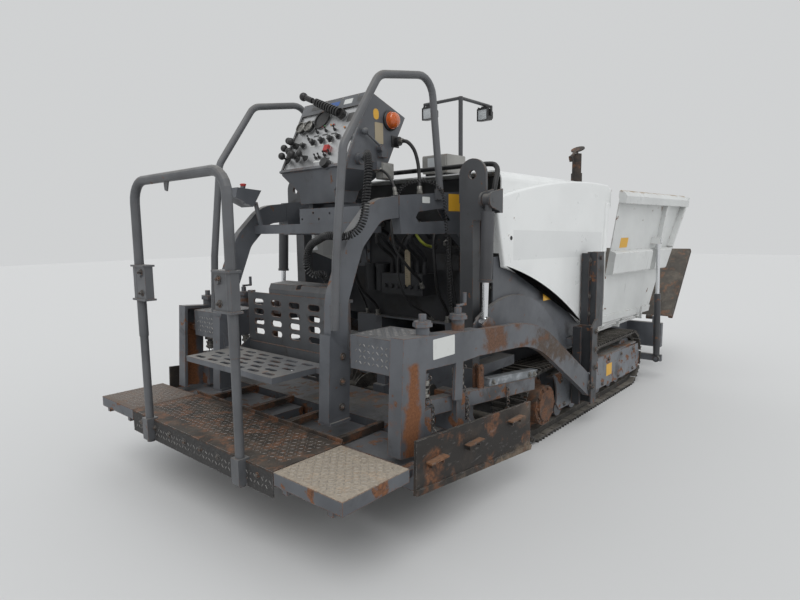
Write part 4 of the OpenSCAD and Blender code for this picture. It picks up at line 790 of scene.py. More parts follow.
ARM_ZONES = mirrored(0.99, (
    (-2.078, 0.700, (0.036, 0.05, 0.140), ORANGE_RUST, 0.030),
    (-2.092, 0.530, (0.056, 0.05, 0.120), ORANGE_RUST, 0.032),
    (-1.370, 0.860, (0.110, 0.05, 0.075), BROWN_RUST, 0.060),
    (-0.600, 0.700, (0.300, 0.05, 0.110), (0.100, 0.070, 0.052), 0.120),
    (-0.900, 0.900, (0.260, 0.05, 0.012), BROWN_RUST, 0.045),
    (-0.950, 0.772, (0.200, 0.05, 0.008), BROWN_RUST, 0.040),
    (-1.600, 0.962, (0.200, 0.09, 0.016), BROWN_RUST, 0.014),
))
WING_ZONES = mirrored(0.95, [(1.40, 1.775, (0.80, 0.30, 0.026), (0.40, 0.29, 0.18), 0.018)])
SAND_ZONES = mirrored(1.12, [(-1.62, 0.205, (0.60, 0.05, 0.030), (0.205, 0.155, 0.110), 0.060)])
GATE_TOP_ZONES = mirrored(1.128, [(-1.70, 0.424, (0.52, 0.016, 0.008), (0.26, 0.12, 0.055), 0.002)])
SKIRT_ZONES = [((-2.635, 0, 0.36), (0.012, 0.70, 0.066), (0.050, 0.048, 0.047), 0.004)]
PLATE_ZONES = [
    ((-2.44, y, 0.4345), (0.205, 0.24, 0.0022), tint, 0.0004)
    for y, tint in ((-0.89, (0.46, 0.385, 0.295)), (0.89, (0.150, 0.102, 0.072)))]

# Columns: key, name, colour or its name in the panel, rust, dirt, dust, wear, other settings
PAINTS = (
    ("grey", "grey paint", "grey_paint", 0.12, 0.35, 0.50, 0.45, {}),
    ("grey_screed", "grey paint, screed", "grey_paint", 0.38, 0.60, 0.35, 0.80, {}),
    ("arm", "grey paint, tow arms", "grey_paint", 0.16, 0.40, 0.30, 0.60, {"zones": ARM_ZONES}),
    ("extension", "grey paint, extensions", "grey_paint", 0.35, 0.45, 0.15, 0.80, {"zones": PLATE_ZONES}),
    ("console", "console paint", "grey_paint", 0.08, 0.35, 0.40, 0.60, {}),
    ("bay", "oily dark paint", (0.020, 0.021, 0.024), 0.06, 0.50, 0.10, 0.15, {"rough": 0.55}),
    ("column", "dark grey paint, columns", (0.050, 0.052, 0.056), 0.12, 0.40, 0.30, 0.50, {}),
    ("guide", "dark grey paint, guides", (0.028, 0.030, 0.034), 0.22, 0.40, 0.25, 0.60, {}),
    ("guard", "dark grey paint, guard", (0.060, 0.063, 0.068), 0.10, 0.45, 0.25, 0.70, {}),
    ("box_grey", "cabinet paint", (0.24, 0.235, 0.22), 0.05, 0.35, 0.30, 0.40, {}),
    ("dark", "dark paint", "dark_paint", 0.14, 0.40, 0.45, 0.45, {}),
    ("rail", "rail paint", "rail_paint", 0.10, 0.25, 0.35, 0.50, {"wear_width": 0.003, "streaks": 0.25}),
    ("cover", "track cover paint", "cover_paint", 0.35, 0.40, 0.80, 0.70, {}),
    ("white", "white paint", "white_paint", 0.0, 0.10, 0.06, 0.12, {"streaks": 0.12, **CLEAN}),
    ("cover_white", "white paint, covers", "white_paint", 0.0, 0.08, 0.04, 0.12, {"streaks": 0.10, **CLEAN}),
    ("white_dirty", "white paint, hopper", "white_paint", 0.16, 0.30, 0.20, 0.55,
     {"fade": 0.06, "streaks": 0.55}),
    # Wings: the white is painted greyer than the white paint. This is painted shade for sheets that lean out
    # and face down.
    ("wing", "white paint, wings", (0.60, 0.61, 0.60), 0.10, 0.25, 0.15, 0.45,
     {"fade": 0.05, "rough": 0.42, "streaks": 0.22, "zones": WING_ZONES}),
)

# Columns: key, name, dark tone, light tone, rust, dust, scratches, polished edges, other settings
STEELS = (
    ("flap", "flap plate", (0.040, 0.034, 0.029), (0.120, 0.100, 0.080), 0.45, 0.30, 0.30, 0.5, {}),
    ("track", "track steel", (0.035, 0.032, 0.029), (0.10, 0.092, 0.080), 0.25, 0.70, 0.25, 0.6, {}),
    ("rust", "rusty plate", (0.050, 0.034, 0.027), (0.125, 0.075, 0.050), 0.75, 0.35, 0.35, 0.5, {}),
    ("gate", "end gate", (0.026, 0.023, 0.021), (0.090, 0.068, 0.052), 0.42, 0.20, 0.25, 0.5,
     {"scale": 4.0, "zones": SAND_ZONES + GATE_TOP_ZONES}),
    ("steel", "bare steel", (0.12, 0.115, 0.11), (0.26, 0.25, 0.235), 0.30, 0.30, 0.50, 0.7,
     {"rough": 0.5, "metal": 0.5}),
    ("walkway", "walkway plate", (0.032, 0.025, 0.020), (0.120, 0.080, 0.056), 0.55, 0.12, 0.40, 0.7,
     {"zones": SKIRT_ZONES}),
    ("stack", "stack", (0.030, 0.026, 0.024), (0.085, 0.060, 0.045), 0.50, 0.10, 0.10, 0.3, {}),
    ("rust_lug", "walkway lugs", (0.050, 0.037, 0.030), (0.13, 0.095, 0.075), 0.40, 0.12, 0.60, 0.9, {}),
    ("skirt_lug", "skirt lugs", (0.055, 0.052, 0.050), (0.13, 0.125, 0.12), 0.25, 0.20, 0.50, 0.8, {}),
    ("tan_lug", "end plate lugs", (0.28, 0.24, 0.185), (0.47, 0.41, 0.33), 0.20, 0.20, 0.50, 0.7, {}),
    ("box_lug", "tread box lugs", (0.16, 0.155, 0.15), (0.38, 0.37, 0.35), 0.12, 0.25, 0.70, 0.9,
     {"rough": 0.5, "metal": 0.4}),
    ("bolt", "bolts", (0.045, 0.042, 0.040), (0.15, 0.135, 0.12), 0.45, 0.30, 0.30, 0.6, {"scale": 30.0}),
    ("zinc", "zinc plate", (0.20, 0.195, 0.18), (0.42, 0.41, 0.38), 0.12, 0.20, 0.40, 0.5,
     {"rough": 0.42, "metal": 0.7, "scale": 40.0}),
    ("galvanised", "galvanised bar", (0.20, 0.215, 0.23), (0.40, 0.425, 0.45), 0.14, 0.20, 0.40, 0.4,
     {"rough": 0.5, "metal": 0.5, "scale": 16.0}),
)

# Columns: key, name, colour, roughness, dust, and for some the grain and the coat
PLASTICS = (
    ("soot_black", "sooty black", (0.010, 0.010, 0.011), 0.50, 0.06, 0.30),
    ("black", "black plastic", (0.014, 0.014, 0.015), 0.45, 0.12),
    ("rubber", "black rubber", (0.013, 0.013, 0.014), 0.48, 0.12, 0.40),
    ("cable", "cable sheath", (0.010, 0.010, 0.011), 0.36, 0.05, 0.15),
    ("hose_yellow", "hose sleeve", (0.38, 0.42, 0.06), 0.50, 0.30),
    ("dial", "dial face", (0.66, 0.66, 0.62), 0.40, 0.15),
    ("lamp_red", "red cap", (0.42, 0.020, 0.016), 0.30, 0.15, 0.20, 0.4),
    ("lamp_green", "green cap", (0.03, 0.25, 0.05), 0.30, 0.15, 0.20, 0.4),
    ("lamp_amber", "amber cap", (0.60, 0.20, 0.02), 0.30, 0.15, 0.20, 0.4),
    ("lamp_glass", "lamp glass", (0.42, 0.44, 0.45), 0.12, 0.10, 0.20, 0.8),
    ("sticker_white", "white sticker", (0.62, 0.63, 0.61), 0.45, 0.35),
    ("sticker_yellow", "yellow sticker", (0.66, 0.36, 0.03), 0.45, 0.35),
    ("sticker_blue", "blue sticker", (0.03, 0.10, 0.32), 0.45, 0.30),
    ("sticker_dark", "dark sticker", (0.035, 0.036, 0.038), 0.40, 0.35),
    ("sticker_beige", "beige plaque", (0.36, 0.30, 0.20), 0.50, 0.30),
)

# Finish of each piece of the solid model, without its side
FINISH = {
    "grey": ("chassis", "gooseneck", "neck_beam", "push_beam", "step", "auger_mount", "fender"),
    "bay": ("bulkhead", "engine_block"),
    "column": ("lift_column",),
    "guide": ("tow_guide",),
    "guard": ("step_guard",),
    "flap": ("hopper_flap",),
    "wing": ("wing",),
    "arm": ("tow_arm",),
    "console": ("console",),
    "cable": ("thick_cable", "thin_cable"),
    "grey_screed": ("screed_frame",),
    "extension": ("extension",),
    "cover": ("track_frame",),
    "dark": ("light_mast", "lift_cylinder", "wing_cylinder"),
    "stack": ("exhaust",),
    "rail": ("rear_rail", "hand_rail"),
    "white": ("hood",),
    "cover_white": ("side_cover",),
    "white_dirty": ("hopper_base",),
    "track": ("track", "conveyor", "auger"),
    "rust": ("sprocket",),
    "walkway": ("walkway",),
    "gate": ("end_gate",),
    "steel": ("push_roller",),
    "chrome": ("lift_rod", "wing_rod"),
    "amber": ("beacon",),
    "black": ("work_lamps",),
}


def build_materials(look):
    """Every finish of the machine, from the colours in the panel."""
    for key, name, colour, rust, dirt, dust, wear, other in PAINTS:
        base = getattr(look, colour) if isinstance(colour, str) else colour
        MATERIALS[key] = paint(name, base, rust, dirt, dust, wear, **other)
    for key, name, dark, light, rust, dust, scratch, polish, other in STEELS:
        MATERIALS[key] = raw_steel(name, dark, light, rust, dust, scratch, polish, **other)
    for key, *settings in PLASTICS:
        MATERIALS[key] = plastic(*settings)
    MATERIALS["chrome"] = polished("chrome rod", (0.75, 0.76, 0.78))
    MATERIALS["amber"] = clear_lens("amber lens", (0.52, 0.095, 0.008))
    add_cover_band(MATERIALS["cover_white"])
    add_console_face(MATERIALS["console"])


# Settings in the panel


def colour_setting(name, use, colour):
    """Colour that can be changed in the panel."""
    return FloatVectorProperty(
        name=name, description=use, subtype="COLOR", size=3, min=0, max=1, default=colour)


def wire_setting(name, use, width, least, most):
    """Width of a wire that can be changed in the panel."""
    return FloatProperty(name=name, description=use, default=width, min=least, max=most, unit="LENGTH")


class PaverLook(bpy.types.PropertyGroup):
    """Colours and wires of the machine."""

    grey_paint: colour_setting("Grey paint", "Frame and operator stand", (0.088, 0.094, 0.105))
    dark_paint: colour_setting("Dark paint", "Mast and cylinders", (0.045, 0.046, 0.050))
    rail_paint: colour_setting("Rail paint", "Hand rails", (0.085, 0.088, 0.094))
    cover_paint: colour_setting("Track cover paint", "Plates over the track frames", (0.13, 0.14, 0.155))
    white_paint: colour_setting("White paint", "Hood, covers and hopper", (0.74, 0.75, 0.74))
    thick_wire: wire_setting("Thick wire", "Wire of the thick coiled cable", 0.0088, 0.006, 0.012)
    thin_wire: wire_setting("Thin wire", "Wire of the thin coiled cable", 0.0056, 0.004, 0.008)
    floor: colour_setting("Floor", "Stage floor", (0.58, 0.58, 0.575))
    backdrop: colour_setting("Backdrop", "What shows behind the floor", (0.63, 0.64, 0.645))


# Columns: name, direction that the light comes from, strength, softness in degrees
LIGHTS = (
    ("key", (-6.0, -4.0, 10.0), 1.15, 45),
    ("fill", (5.0, -7.0, 5.0), 0.35, 60),
    ("back", (3.0, 7.0, 5.0), 0.35, 60),
)


class PAVER_OT_stage(bpy.types.Operator):
    """Floor, soft studio light and the camera of the photograph"""

    bl_idname = "paver.stage"
    bl_label = "Stage"

    def execute(self, context):
        scene, look = context.scene, context.scene.paver_look
        scene.view_settings.view_transform = "Standard"
        deselect()
        bpy.ops.mesh.primitive_plane_add(size=60, location=(0, 0, 0))
        floor = context.object
        floor.name = "stage_floor"
        material, g, shader, _ = new_material("stage floor", look.floor)
        g.fill(shader, {"Base Color": rgba(look.floor), "Roughness": 0.9})
        floor.data.materials.append(material)
        scene.world = scene.world or bpy.data.worlds.new("Studio")
        scene.world.use_nodes = True
        scene.world.node_tree.nodes.clear()
        w = Graph(scene.world.node_tree)
        rays = w.add("ShaderNodeLightPath").outputs
        seen = w.most(rays["Is Camera Ray"], w.most(rays["Is Glossy Ray"], rays["Is Transmission Ray"]))
        light = w.add("ShaderNodeBackground", (0.95, 0.975, 1.0, 1), 0.74).outputs[0]
        back = w.add("ShaderNodeBackground", rgba(look.backdrop), 1.0).outputs[0]
        w.add("ShaderNodeOutputWorld", w.add("ShaderNodeMixShader", seen, light, back).outputs[0])
        for name, towards, strength, soft in LIGHTS:
            data = bpy.data.lights.new(name, "SUN")
            data.energy = strength
            data.angle = math.radians(soft)
            lamp = bpy.data.objects.new(name, data)
            lamp.matrix_world = Matrix.Translation(towards) @ along(towards)
            scene.collection.objects.link(lamp)
        data = bpy.data.cameras.new("Camera")
        data.lens = CAMERA_LENS
        data.sensor_width = 36
        data.clip_end = 200
        camera = bpy.data.objects.new("Camera", data)
        heading, up = Vector((math.cos(CAMERA_YAW), math.sin(CAMERA_YAW), 0)), Vector(UP)
        forward = heading * math.cos(CAMERA_PITCH) - up * math.sin(CAMERA_PITCH)
        above = up * math.cos(CAMERA_PITCH) + heading * math.sin(CAMERA_PITCH)
        right = heading.cross(up)
        cos_roll, sin_roll = math.cos(CAMERA_ROLL), math.sin(CAMERA_ROLL)
        side = right * cos_roll + above * sin_roll
        top = above * cos_roll - right * sin_roll
        turn = Matrix((side, top, -forward)).transposed().to_4x4()
        camera.matrix_world = Matrix.Translation(CAMERA_AT) @ turn
        scene.collection.objects.link(camera)
        scene.camera = camera
        return {"FINISHED"}


class PAVER_OT_finishes(bpy.types.Operator):
    """Materials of the solid model's own pieces"""

    bl_idname = "paver.finishes"
    bl_label = "Finishes"

    def execute(self, context):
        build_groups()
        build_materials(context.scene.paver_look)
        for key, names in FINISH.items():
            for full in [name + ending for name in names for ending in ("", "_left", "_right")]:
                if full in NODES:
                    materials = NODES[full].data.materials
                    materials.clear()
                    materials.append(MATERIALS[key])
        return {"FINISHED"}


# Coiled cables. Routes are those of the solids, in metres.
THICK_ROUTE = (
    (-1.690, -0.3143, 1.858), (-1.690, -0.324, 1.858), (-1.690, -0.344, 1.858), (-1.722, -0.390, 1.864),
    (-1.790, -0.455, 1.862), (-1.865, -0.530, 1.832), (-1.912, -0.578, 1.768), (-1.935, -0.592, 1.690),
    (-1.950, -0.592, 1.600), (-1.966, -0.592, 1.520), (-1.998, -0.584, 1.462), (-2.040, -0.560, 1.432),
    (-2.063, -0.512, 1.426), (-2.065, -0.455, 1.430), (-2.050, -0.390, 1.428), (-2.028, -0.310, 1.408),
    (-2.008, -0.235, 1.385), (-1.998, -0.188, 1.345), (-1.995, -0.168, 1.288), (-1.985, -0.172, 1.240),
    (-1.950, -0.186, 1.212), (-1.912, -0.198, 1.216), (-1.890, -0.200, 1.196), (-1.890, -0.200, 1.175),
    (-1.890, -0.200, 1.1603),
)
THIN_ROUTE = (
    (-1.480, -0.400, 1.6303), (-1.480, -0.400, 1.644), (-1.480, -0.400, 1.668), (-1.466, -0.430, 1.712),
    (-1.430, -0.500, 1.736), (-1.395, -0.570, 1.728), (-1.368, -0.620, 1.690), (-1.352, -0.640, 1.630),
    (-1.342, -0.640, 1.540), (-1.330, -0.640, 1.440), (-1.318, -0.640, 1.334), (-1.308, -0.640, 1.230),
    (-1.298, -0.640, 1.120), (-1.288, -0.640, 1.000), (-1.276, -0.644, 0.880), (-1.262, -0.658, 0.780),
    (-1.252, -0.674, 0.725), (-1.250, -0.678, 0.700), (-1.250, -0.678, 0.682), (-1.250, -0.678, 0.6653),
)

# Hoses of the open bay and the stand. Columns: name, radius, finish, points from end to end.
HOSES = (
    ("bay_hose_1", 0.011, "rubber", (
        (-0.86, -0.30, 1.46), (-0.95, -0.31, 1.47), (-1.06, -0.34, 1.40), (-1.08, -0.36, 1.22),
        (-1.02, -0.34, 1.04), (-0.92, -0.32, 0.93), (-0.876, -0.31, 0.87), (-0.875, -0.31, 0.8125))),
    ("bay_hose_2", 0.013, "rubber", (
        (-0.86, -0.38, 1.40), (-0.94, -0.39, 1.40), (-1.02, -0.42, 1.32), (-1.04, -0.44, 1.14),
        (-1.00, -0.43, 0.98), (-0.89, -0.41, 0.88), (-0.875, -0.40, 0.8125))),
    ("bay_hose_3", 0.010, "rubber", (
        (-0.86, 0.10, 1.56), (-0.98, 0.06, 1.58), (-1.14, -0.04, 1.50), (-1.20, -0.12, 1.34),
        (-1.14, -0.19, 1.20), (-1.04, -0.195, 1.12), (-1.005, -0.195, 1.06))),
    ("bay_hose_4", 0.010, "hose_yellow", (
        (-0.86, -0.06, 1.50), (-0.93, -0.07, 1.52), (-1.00, -0.11, 1.50), (-1.02, -0.16, 1.42),
        (-0.98, -0.19, 1.36), (-0.90, -0.19, 1.34), (-0.86, -0.19, 1.34))),
    ("bay_hose_5", 0.012, "rubber", (
        (-0.86, 0.30, 1.50), (-0.98, 0.31, 1.50), (-1.10, 0.34, 1.40), (-1.12, 0.36, 1.20),
        (-1.04, 0.36, 1.02), (-0.90, 0.35, 0.89), (-0.875, 0.35, 0.8125))),
    ("bay_hose_6", 0.009, "rubber", (
        (-0.86, -0.46, 1.55), (-0.92, -0.455, 1.55), (-1.00, -0.45, 1.47), (-1.03, -0.45, 1.30),
        (-1.02, -0.46, 1.12), (-0.99, -0.47, 0.96), (-0.89, -0.47, 0.86), (-0.875, -0.47, 0.8125))),
    ("bay_hose_7", 0.008, "rubber", (
        (-0.86, 0.02, 1.42), (-0.96, 0.00, 1.40), (-1.10, -0.06, 1.28), (-1.16, -0.12, 1.10),
        (-1.10, -0.16, 0.96), (-0.94, -0.18, 0.87), (-0.875, -0.18, 0.8125))),
    ("bay_hose_9", 0.014, "rubber", (
        (-0.86, -0.293, 1.36), (-0.90, -0.330, 1.368), (-0.92, -0.393, 1.345), (-0.93, -0.498, 1.306),
        (-0.92, -0.576, 1.242), (-0.90, -0.623, 1.159), (-0.875, -0.640, 1.10), (-0.860, -0.642, 1.075))),
    ("stand_hose_1", 0.011, "rubber", (
        (-1.380, -0.312, 1.985), (-1.380, -0.345, 1.985), (-1.372, -0.385, 1.975), (-1.350, -0.415, 1.930),
        (-1.335, -0.430, 1.860), (-1.340, -0.445, 1.780), (-1.358, -0.462, 1.715), (-1.368, -0.470, 1.668))),
    ("stand_hose_2", 0.008, "rubber", (
        (-1.560, -0.300, 1.800), (-1.562, -0.325, 1.802), (-1.568, -0.360, 1.795), (-1.578, -0.415, 1.760),
        (-1.583, -0.455, 1.705), (-1.584, -0.470, 1.653))),
    ("bay_hose_8", 0.008, "rubber", (
        (-0.86, 0.42, 1.58), (-0.96, 0.42, 1.56), (-1.02, 0.43, 1.42), (-1.02, 0.44, 1.22),
        (-0.99, 0.45, 1.04), (-0.90, 0.46, 0.89), (-0.875, 0.46, 0.8125))),
)


class PAVER_OT_cables(bpy.types.Operator):
    """Coiled cables between the console and the frame, and the hoses of the bay and the stand"""

    bl_idname = "paver.cables"
    bl_label = "Cables and hoses"

    def execute(self, context):
        look = context.scene.paver_look
        for name, node, route, outer, wire, pitch in (
            ("thick_coil", "thick_cable", THICK_ROUTE, 0.022, look.thick_wire / 2, 0.0148),
            ("thin_coil", "thin_cable", THIN_ROUTE, 0.012, look.thin_wire / 2, 0.0170),
        ):
            curl = curled(smooth_route(route, 8), outer - wire, pitch)
            coil = strand(name, curl, wire, "cable", 1)
            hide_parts(node)
        for name, radius, finish, points in HOSES:
            line = smooth_route(points, 5)
            hose = strand(name, line, radius, finish)
            for end, ahead in ((line[0], line[1]), (line[-1], line[-2])):
                away = (ahead - end).normalized()
                nut = joined(name + "_nut", [
                    barrel(end - away * 0.004, away, radius * 1.75, 0.018, 6, bevel=0.0012),
                    barrel(end + away * 0.010, away, radius * 1.35, 0.034, 16, bevel=0.0015),
                ])
                done(outward(nut), "zinc")
        return {"FINISHED"}


# Outline of a gauge's pointer, in metres
POINTER = ((-0.0012, -0.006), (0.0012, -0.006), (0.0004, 0.021), (-0.0004, 0.021))
# Controls of the console's sloped face, in millimetres across it and up it
GAUGES_ACROSS = (-232, -158)
GAUGE_UP = 306
TOGGLES = ((-71, 262), (7, 262), (84, 260), (3, 76), (33, 78), (73, 88), (115, 94), (-130, 220))
SCREWS = (
    *((x, y) for x in (-282, 282) for y in (30, 140, 250, 360, 460)),
    *((x, 470) for x in (-200, -70, 70, 200)),
)
# Columns: place across, place up, diameter, top of the solid's knob
KNOBS = (
    (-161, 178, 26, 24), (-76, 190, 30, 26), (1, 194, 30, 26), (76, 196, 30, 26), (136, 205, 22, 20),
    (239, 187, 30, 26), (239, 76, 34, 30),
)
# Columns: place across, place up, finish
PANEL_LAMPS = (
    (-40, 296, "lamp_red"), (-18, 296, "lamp_green"), (38, 296, "lamp_amber"), (62, 296, "lamp_red"),
    (190, 128, "lamp_green"), (168, 262, "lamp_amber"),
)
# Columns: place across, place up, width, height, finish. Those above LIP_UP lie on the raised lip.
LIP_UP = 400
LABELS = (
    (6, 440, 90, 30, "sticker_blue"), (128, 440, 70, 34, "sticker_white"),
    (-140, 440, 120, 26, "sticker_dark"), (232, 440, 60, 30, "sticker_dark"),
    (-71, 236, 46, 10, "sticker_dark"), (7, 236, 46, 10, "sticker_dark"), (84, 234, 46, 10, "sticker_dark"),
    (-76, 166, 44, 9, "sticker_white"), (1, 168, 44, 9, "sticker_white"), (76, 170, 44, 9, "sticker_white"),
    (20, 52, 60, 9, "sticker_white"), (95, 64, 60, 9, "sticker_dark"), (239, 158, 48, 9, "sticker_white"),
    (239, 46, 48, 9, "sticker_white"), (-200, 352, 110, 14, "sticker_dark"),
    (190, 330, 60, 60, "sticker_dark"),
)


class PAVER_OT_controls(bpy.types.Operator):
    """Knob caps, gauge faces, lamps, screws and blank labels of the console"""

    bl_idname = "paver.controls"
    bl_label = "Console controls"

    def gauge(self, x):
        """Bezel, white face, and black marks with a pointer."""
        bezel = turned([
            (0.0365, 0), (0.0365, 0.006), (0.034, 0.0085), (0.0305, 0.0085), (0.0295, 0.003),
            (0.0295, -0.001), (0.034, -0.001)], 32)
        done(carry(bezel, on_panel(x, GAUGE_UP, 24)), "zinc")
        done(carry(barrel((0, 0, 0), UP, 0.029, 0.002, 32), on_panel(x, GAUGE_UP, 21.5)), "dial")
        marks = [
            carry(block((-0.0006, 0.021, 0), (0.0006, 0.026, 0.0005)), turn_by(-135 + 27 * k, "Z"))
            for k in range(11)]
        marks.append(carry(prism(POINTER, 0.001), turn_by(70, "Z")))
        marks.append(barrel((0, 0, 0), UP, 0.003, 0.002, 12))
        done(carry(joined("gauge_marks", marks), on_panel(x, GAUGE_UP, 23.6)), "black")

    def knob(self, i, x, y, diameter, top):
        """Ribbed cap on a collar, with a white line."""
        r = diameter / 2000
        cap = carry(prism(ribbed(r), 0.012, 0.0006), on_panel(x, y, top - 9))
        collar = turned([(r + 0.006, 0), (r + 0.006, 0.0015), (r + 0.003, 0.0035), (r + 0.001, 0.0035)])
        done(joined("knob_%d" % i, [cap, carry(collar, on_panel(x, y, 6))]), "black")
        line = block((-0.0009, 0.002, 0), (0.0009, r, 0.0012), 0.0003)
        done(carry(line, on_panel(x, y, top + 2.6) @ Matrix.Rotation(0.7 * i, 4, "Z")), "dial")

    def toggle(self, x, y):
        """Rubber boot and the lever in it."""
        boot = turned([(0.0095, 0), (0.0095, 0.003), (0.0085, 0.0075), (0.006, 0.009), (0.0045, 0.016)], 16)
        carry(boot, on_panel(x, y, 2.5))
        lever = turned([(0.003, 0.018), (0.0052, 0.024), (0.0058, 0.029), (0.004, 0.033)], 12)
        return [boot, carry(lever, on_panel(x, y, 2) @ turn_by(-25, "X"))]

    def lamp(self, x, y, finish):
        """Domed lamp in its rim."""
        rim = turned([(0.0075, 0), (0.0075, 0.003), (0.0062, 0.0045), (0.005, 0.0045)], 20)
        done(carry(rim, on_panel(x, y, 2.6)), "zinc")
        dome = turned([(0.0055, 0), (0.0055, 0.003), (0.0048, 0.0058), (0.003, 0.0075), (0.001, 0.0082)], 20)
        done(carry(dome, on_panel(x, y, 5.5)), finish)

    def sides(self):
        """Red button of the left box, and the plates, the box and the socket of the right side."""
        button = turned([
            (0.017, 0), (0.017, 0.006), (0.020, 0.008), (0.020, 0.013), (0.014, 0.017), (0.001, 0.018)])
        done(carry(button, shift(-1.960, 0.460, 1.738)), "lamp_red")
        blank_plate(on_console_side(-1.542, 2.126), 0.046, 0.062, "sticker_yellow", thick=0.001, corner=0.022)
        blank_plate(on_console_side(-1.520, 2.020), 0.070, 0.120, "sticker_beige", thick=0.002, corner=0.006)
        box = [
            block((-1.555, -0.338, 1.752), (-1.452, -0.290, 1.848), 0.006),
            block((-1.552, -0.346, 1.755), (-1.455, -0.337, 1.845), 0.003),
        ]
        for x in (-1.543, -1.464):
            for z in (1.765, 1.835):
                head = turned([(0.005, 0), (0.005, 0.002), (0.003, 0.003), (0.001, 0.003)], 12)
                box.append(carry(head, frame_at((x, -0.3455, z), RIGHT)))
        done(joined("side_box", box), "box_grey")
        cup = turned([
            (0.030, 0), (0.030, 0.006), (0.026, 0.010), (0.024, 0.030), (0.027, 0.030), (0.027, 0.040),
            (0.001, 0.041)])
        carry(cup, on_console_side(-1.380, 1.985))
        flange = prism([(-0.034, -0.034), (0.034, -0.034), (0.034, 0.034), (-0.034, 0.034)], 0.005, 0.002)
        done(joined("side_socket", [cup, carry(flange, on_console_side(-1.380, 1.985))]), "black")

    def execute(self, context):
        for x in GAUGES_ACROSS:
            self.gauge(x)
        for i, row in enumerate(KNOBS):
            self.knob(i, *row)
        done(joined("toggle_boots", [piece for place in TOGGLES for piece in self.toggle(*place)]), "black")
        for row in PANEL_LAMPS:
            self.lamp(*row)
        done(joined("panel_screws", [carry(screw(), on_panel(x, y, 12)) for x, y in SCREWS]), "zinc")
        for x, y, width, height, finish in LABELS:
            place = on_panel(x, y, 12.2 if y > LIP_UP else 3.2)
            blank_plate(place, width / 1000, height / 1000, finish, thick=0.0006, corner=0.0015)
        self.sides()
        return {"FINISHED"}


class PAVER_OT_lamps(bpy.types.Operator):
    """Glass of the work lamps and base of the beacon"""

    bl_idname = "paver.lamps"
    bl_label = "Lamps"

    def execute(self, context):
        base = turned([
            (0.060, -0.006), (0.060, 0.004), (0.056, 0.009), (0.0525, 0.013), (0.0525, -0.006)], 40)
        done(carry(base, frame_at((-1.424, -0.2965, 2.104), RIGHT)), "black")
        for i, (x, y) in enumerate(((-0.270, 0.300), (0.080, 0.0))):
            glass = [block((x - 0.0395, y - 0.0415, 2.3470), (x - 0.0345, y + 0.0415, 2.4285), 0.0015)]
            for k in range(10):
                rib = y - 0.036 + k * 0.008
                glass.append(block((x - 0.0410, rib, 2.350), (x - 0.0385, rib + 0.004, 2.426), 0.0008))
            done(joined("lamp_glass_%d" % i, glass), "lamp_glass")
        return {"FINISHED"}


class PAVER_OT_bolts(bpy.types.Operator):
    """Bolts of the frame and the screed"""

    bl_idname = "paver.bolts"
    bl_label = "Bolts"

    def execute(self, context):
        bolt_rows("frame_bolts", (
            (0.022, (-2.100, 0.538, 0.560), (-2.085, 0.538, 0.820), 3, OUT, 0.006),
            (0.024, (-0.005, 1.018, 0.430), (-0.005, 1.018, 0.700), 3, OUT, 0.008),
            (0.020, (0.0125, 0.952, 0.820), (0.0125, 0.952, 1.220), 4, OUT, 0.0),
            (0.020, (-0.250, 0.872, 0.365), (1.250, 0.872, 0.345), 6, OUT, 0.0),
            (0.020, (-0.200, 0.872, 0.175), (1.250, 0.872, 0.160), 5, OUT, 0.0),
            (0.018, (-0.8625, 0.455, 1.220), (-0.8625, 0.455, 1.300), 2, BACK, 0.0),
            (0.018, (-0.8625, 0.545, 1.220), (-0.8625, 0.545, 1.300), 2, BACK, 0.0),
        ), "tractor")
        bolt_rows("screed_bolts", (
            (0.050, (-0.050, 1.000, 0.300), (-0.050, 1.000, 0.300), 1, OUT, 0.010),
            (0.020, (-2.665, 0.378, 1.140), (-2.665, 0.378, 1.250), 2, BACK, 0.010),
            (0.018, (-2.635, 0.560, 0.385), (-2.635, 0.080, 0.385), 4, BACK, 0.0),
        ), "screed")
        return {"FINISHED"}


class PAVER_OT_tread(bpy.types.Operator):
    """Raised lugs of the tread plates"""

    bl_idname = "paver.tread"
    bl_label = "Tread plate"

    def execute(self, context):
        walkway = frame_at((-2.240, -0.655, WALK_TOP), UP, OUT)
        tread("walkway_tread", walkway, 1.31, 0.365, "rust_lug")
        skirt = frame_at((-2.635, 0.660, 0.316), BACK, RIGHT)
        tread("walkway_skirt_tread", skirt, 1.32, 0.112, "skirt_lug")
        # Columns: side, finish of its end plate, first y of the end plate, the box's top and its face
        for side, finish, end_y, top_y, face_y in (
            ("left", "rust_lug", 0.686, 0.615, 0.880), ("right", "tan_lug", -1.100, -0.880, -0.615),
        ):
            end = frame_at((-2.252, end_y, WALK_TOP), UP, OUT)
            tread("end_tread_" + side, end, 0.41, 0.375, finish, "extension_" + side, 0.024)
            tread("box_tread_" + side, frame_at((-1.805, top_y, 0.945), UP, OUT), 0.265, 0.29, "box_lug")
            face = frame_at((-2.100, face_y, 0.778), BACK, RIGHT)
            tread("box_face_tread_" + side, face, 0.265, 0.165, "box_lug")
        return {"FINISHED"}


# Blank stickers on both sides. Columns: place, width, height, finish, body
SIGNS = (
    ((-1.845, 1.000, 0.888), 0.175, 0.098, "sticker_white", "screed"),
    ((-1.035, 0.530, 1.620), 0.250, 0.105, "sticker_yellow", "tractor"),
    ((-1.383, 0.530, 1.628), 0.070, 0.036, "sticker_white", "tractor"),
    ((0.670, 0.872, 0.262), 0.120, 0.100, "sticker_yellow", "tractor"),
    ((-0.490, 0.866, 1.016), 0.120, 0.090, "sticker_yellow", "tractor"),
)


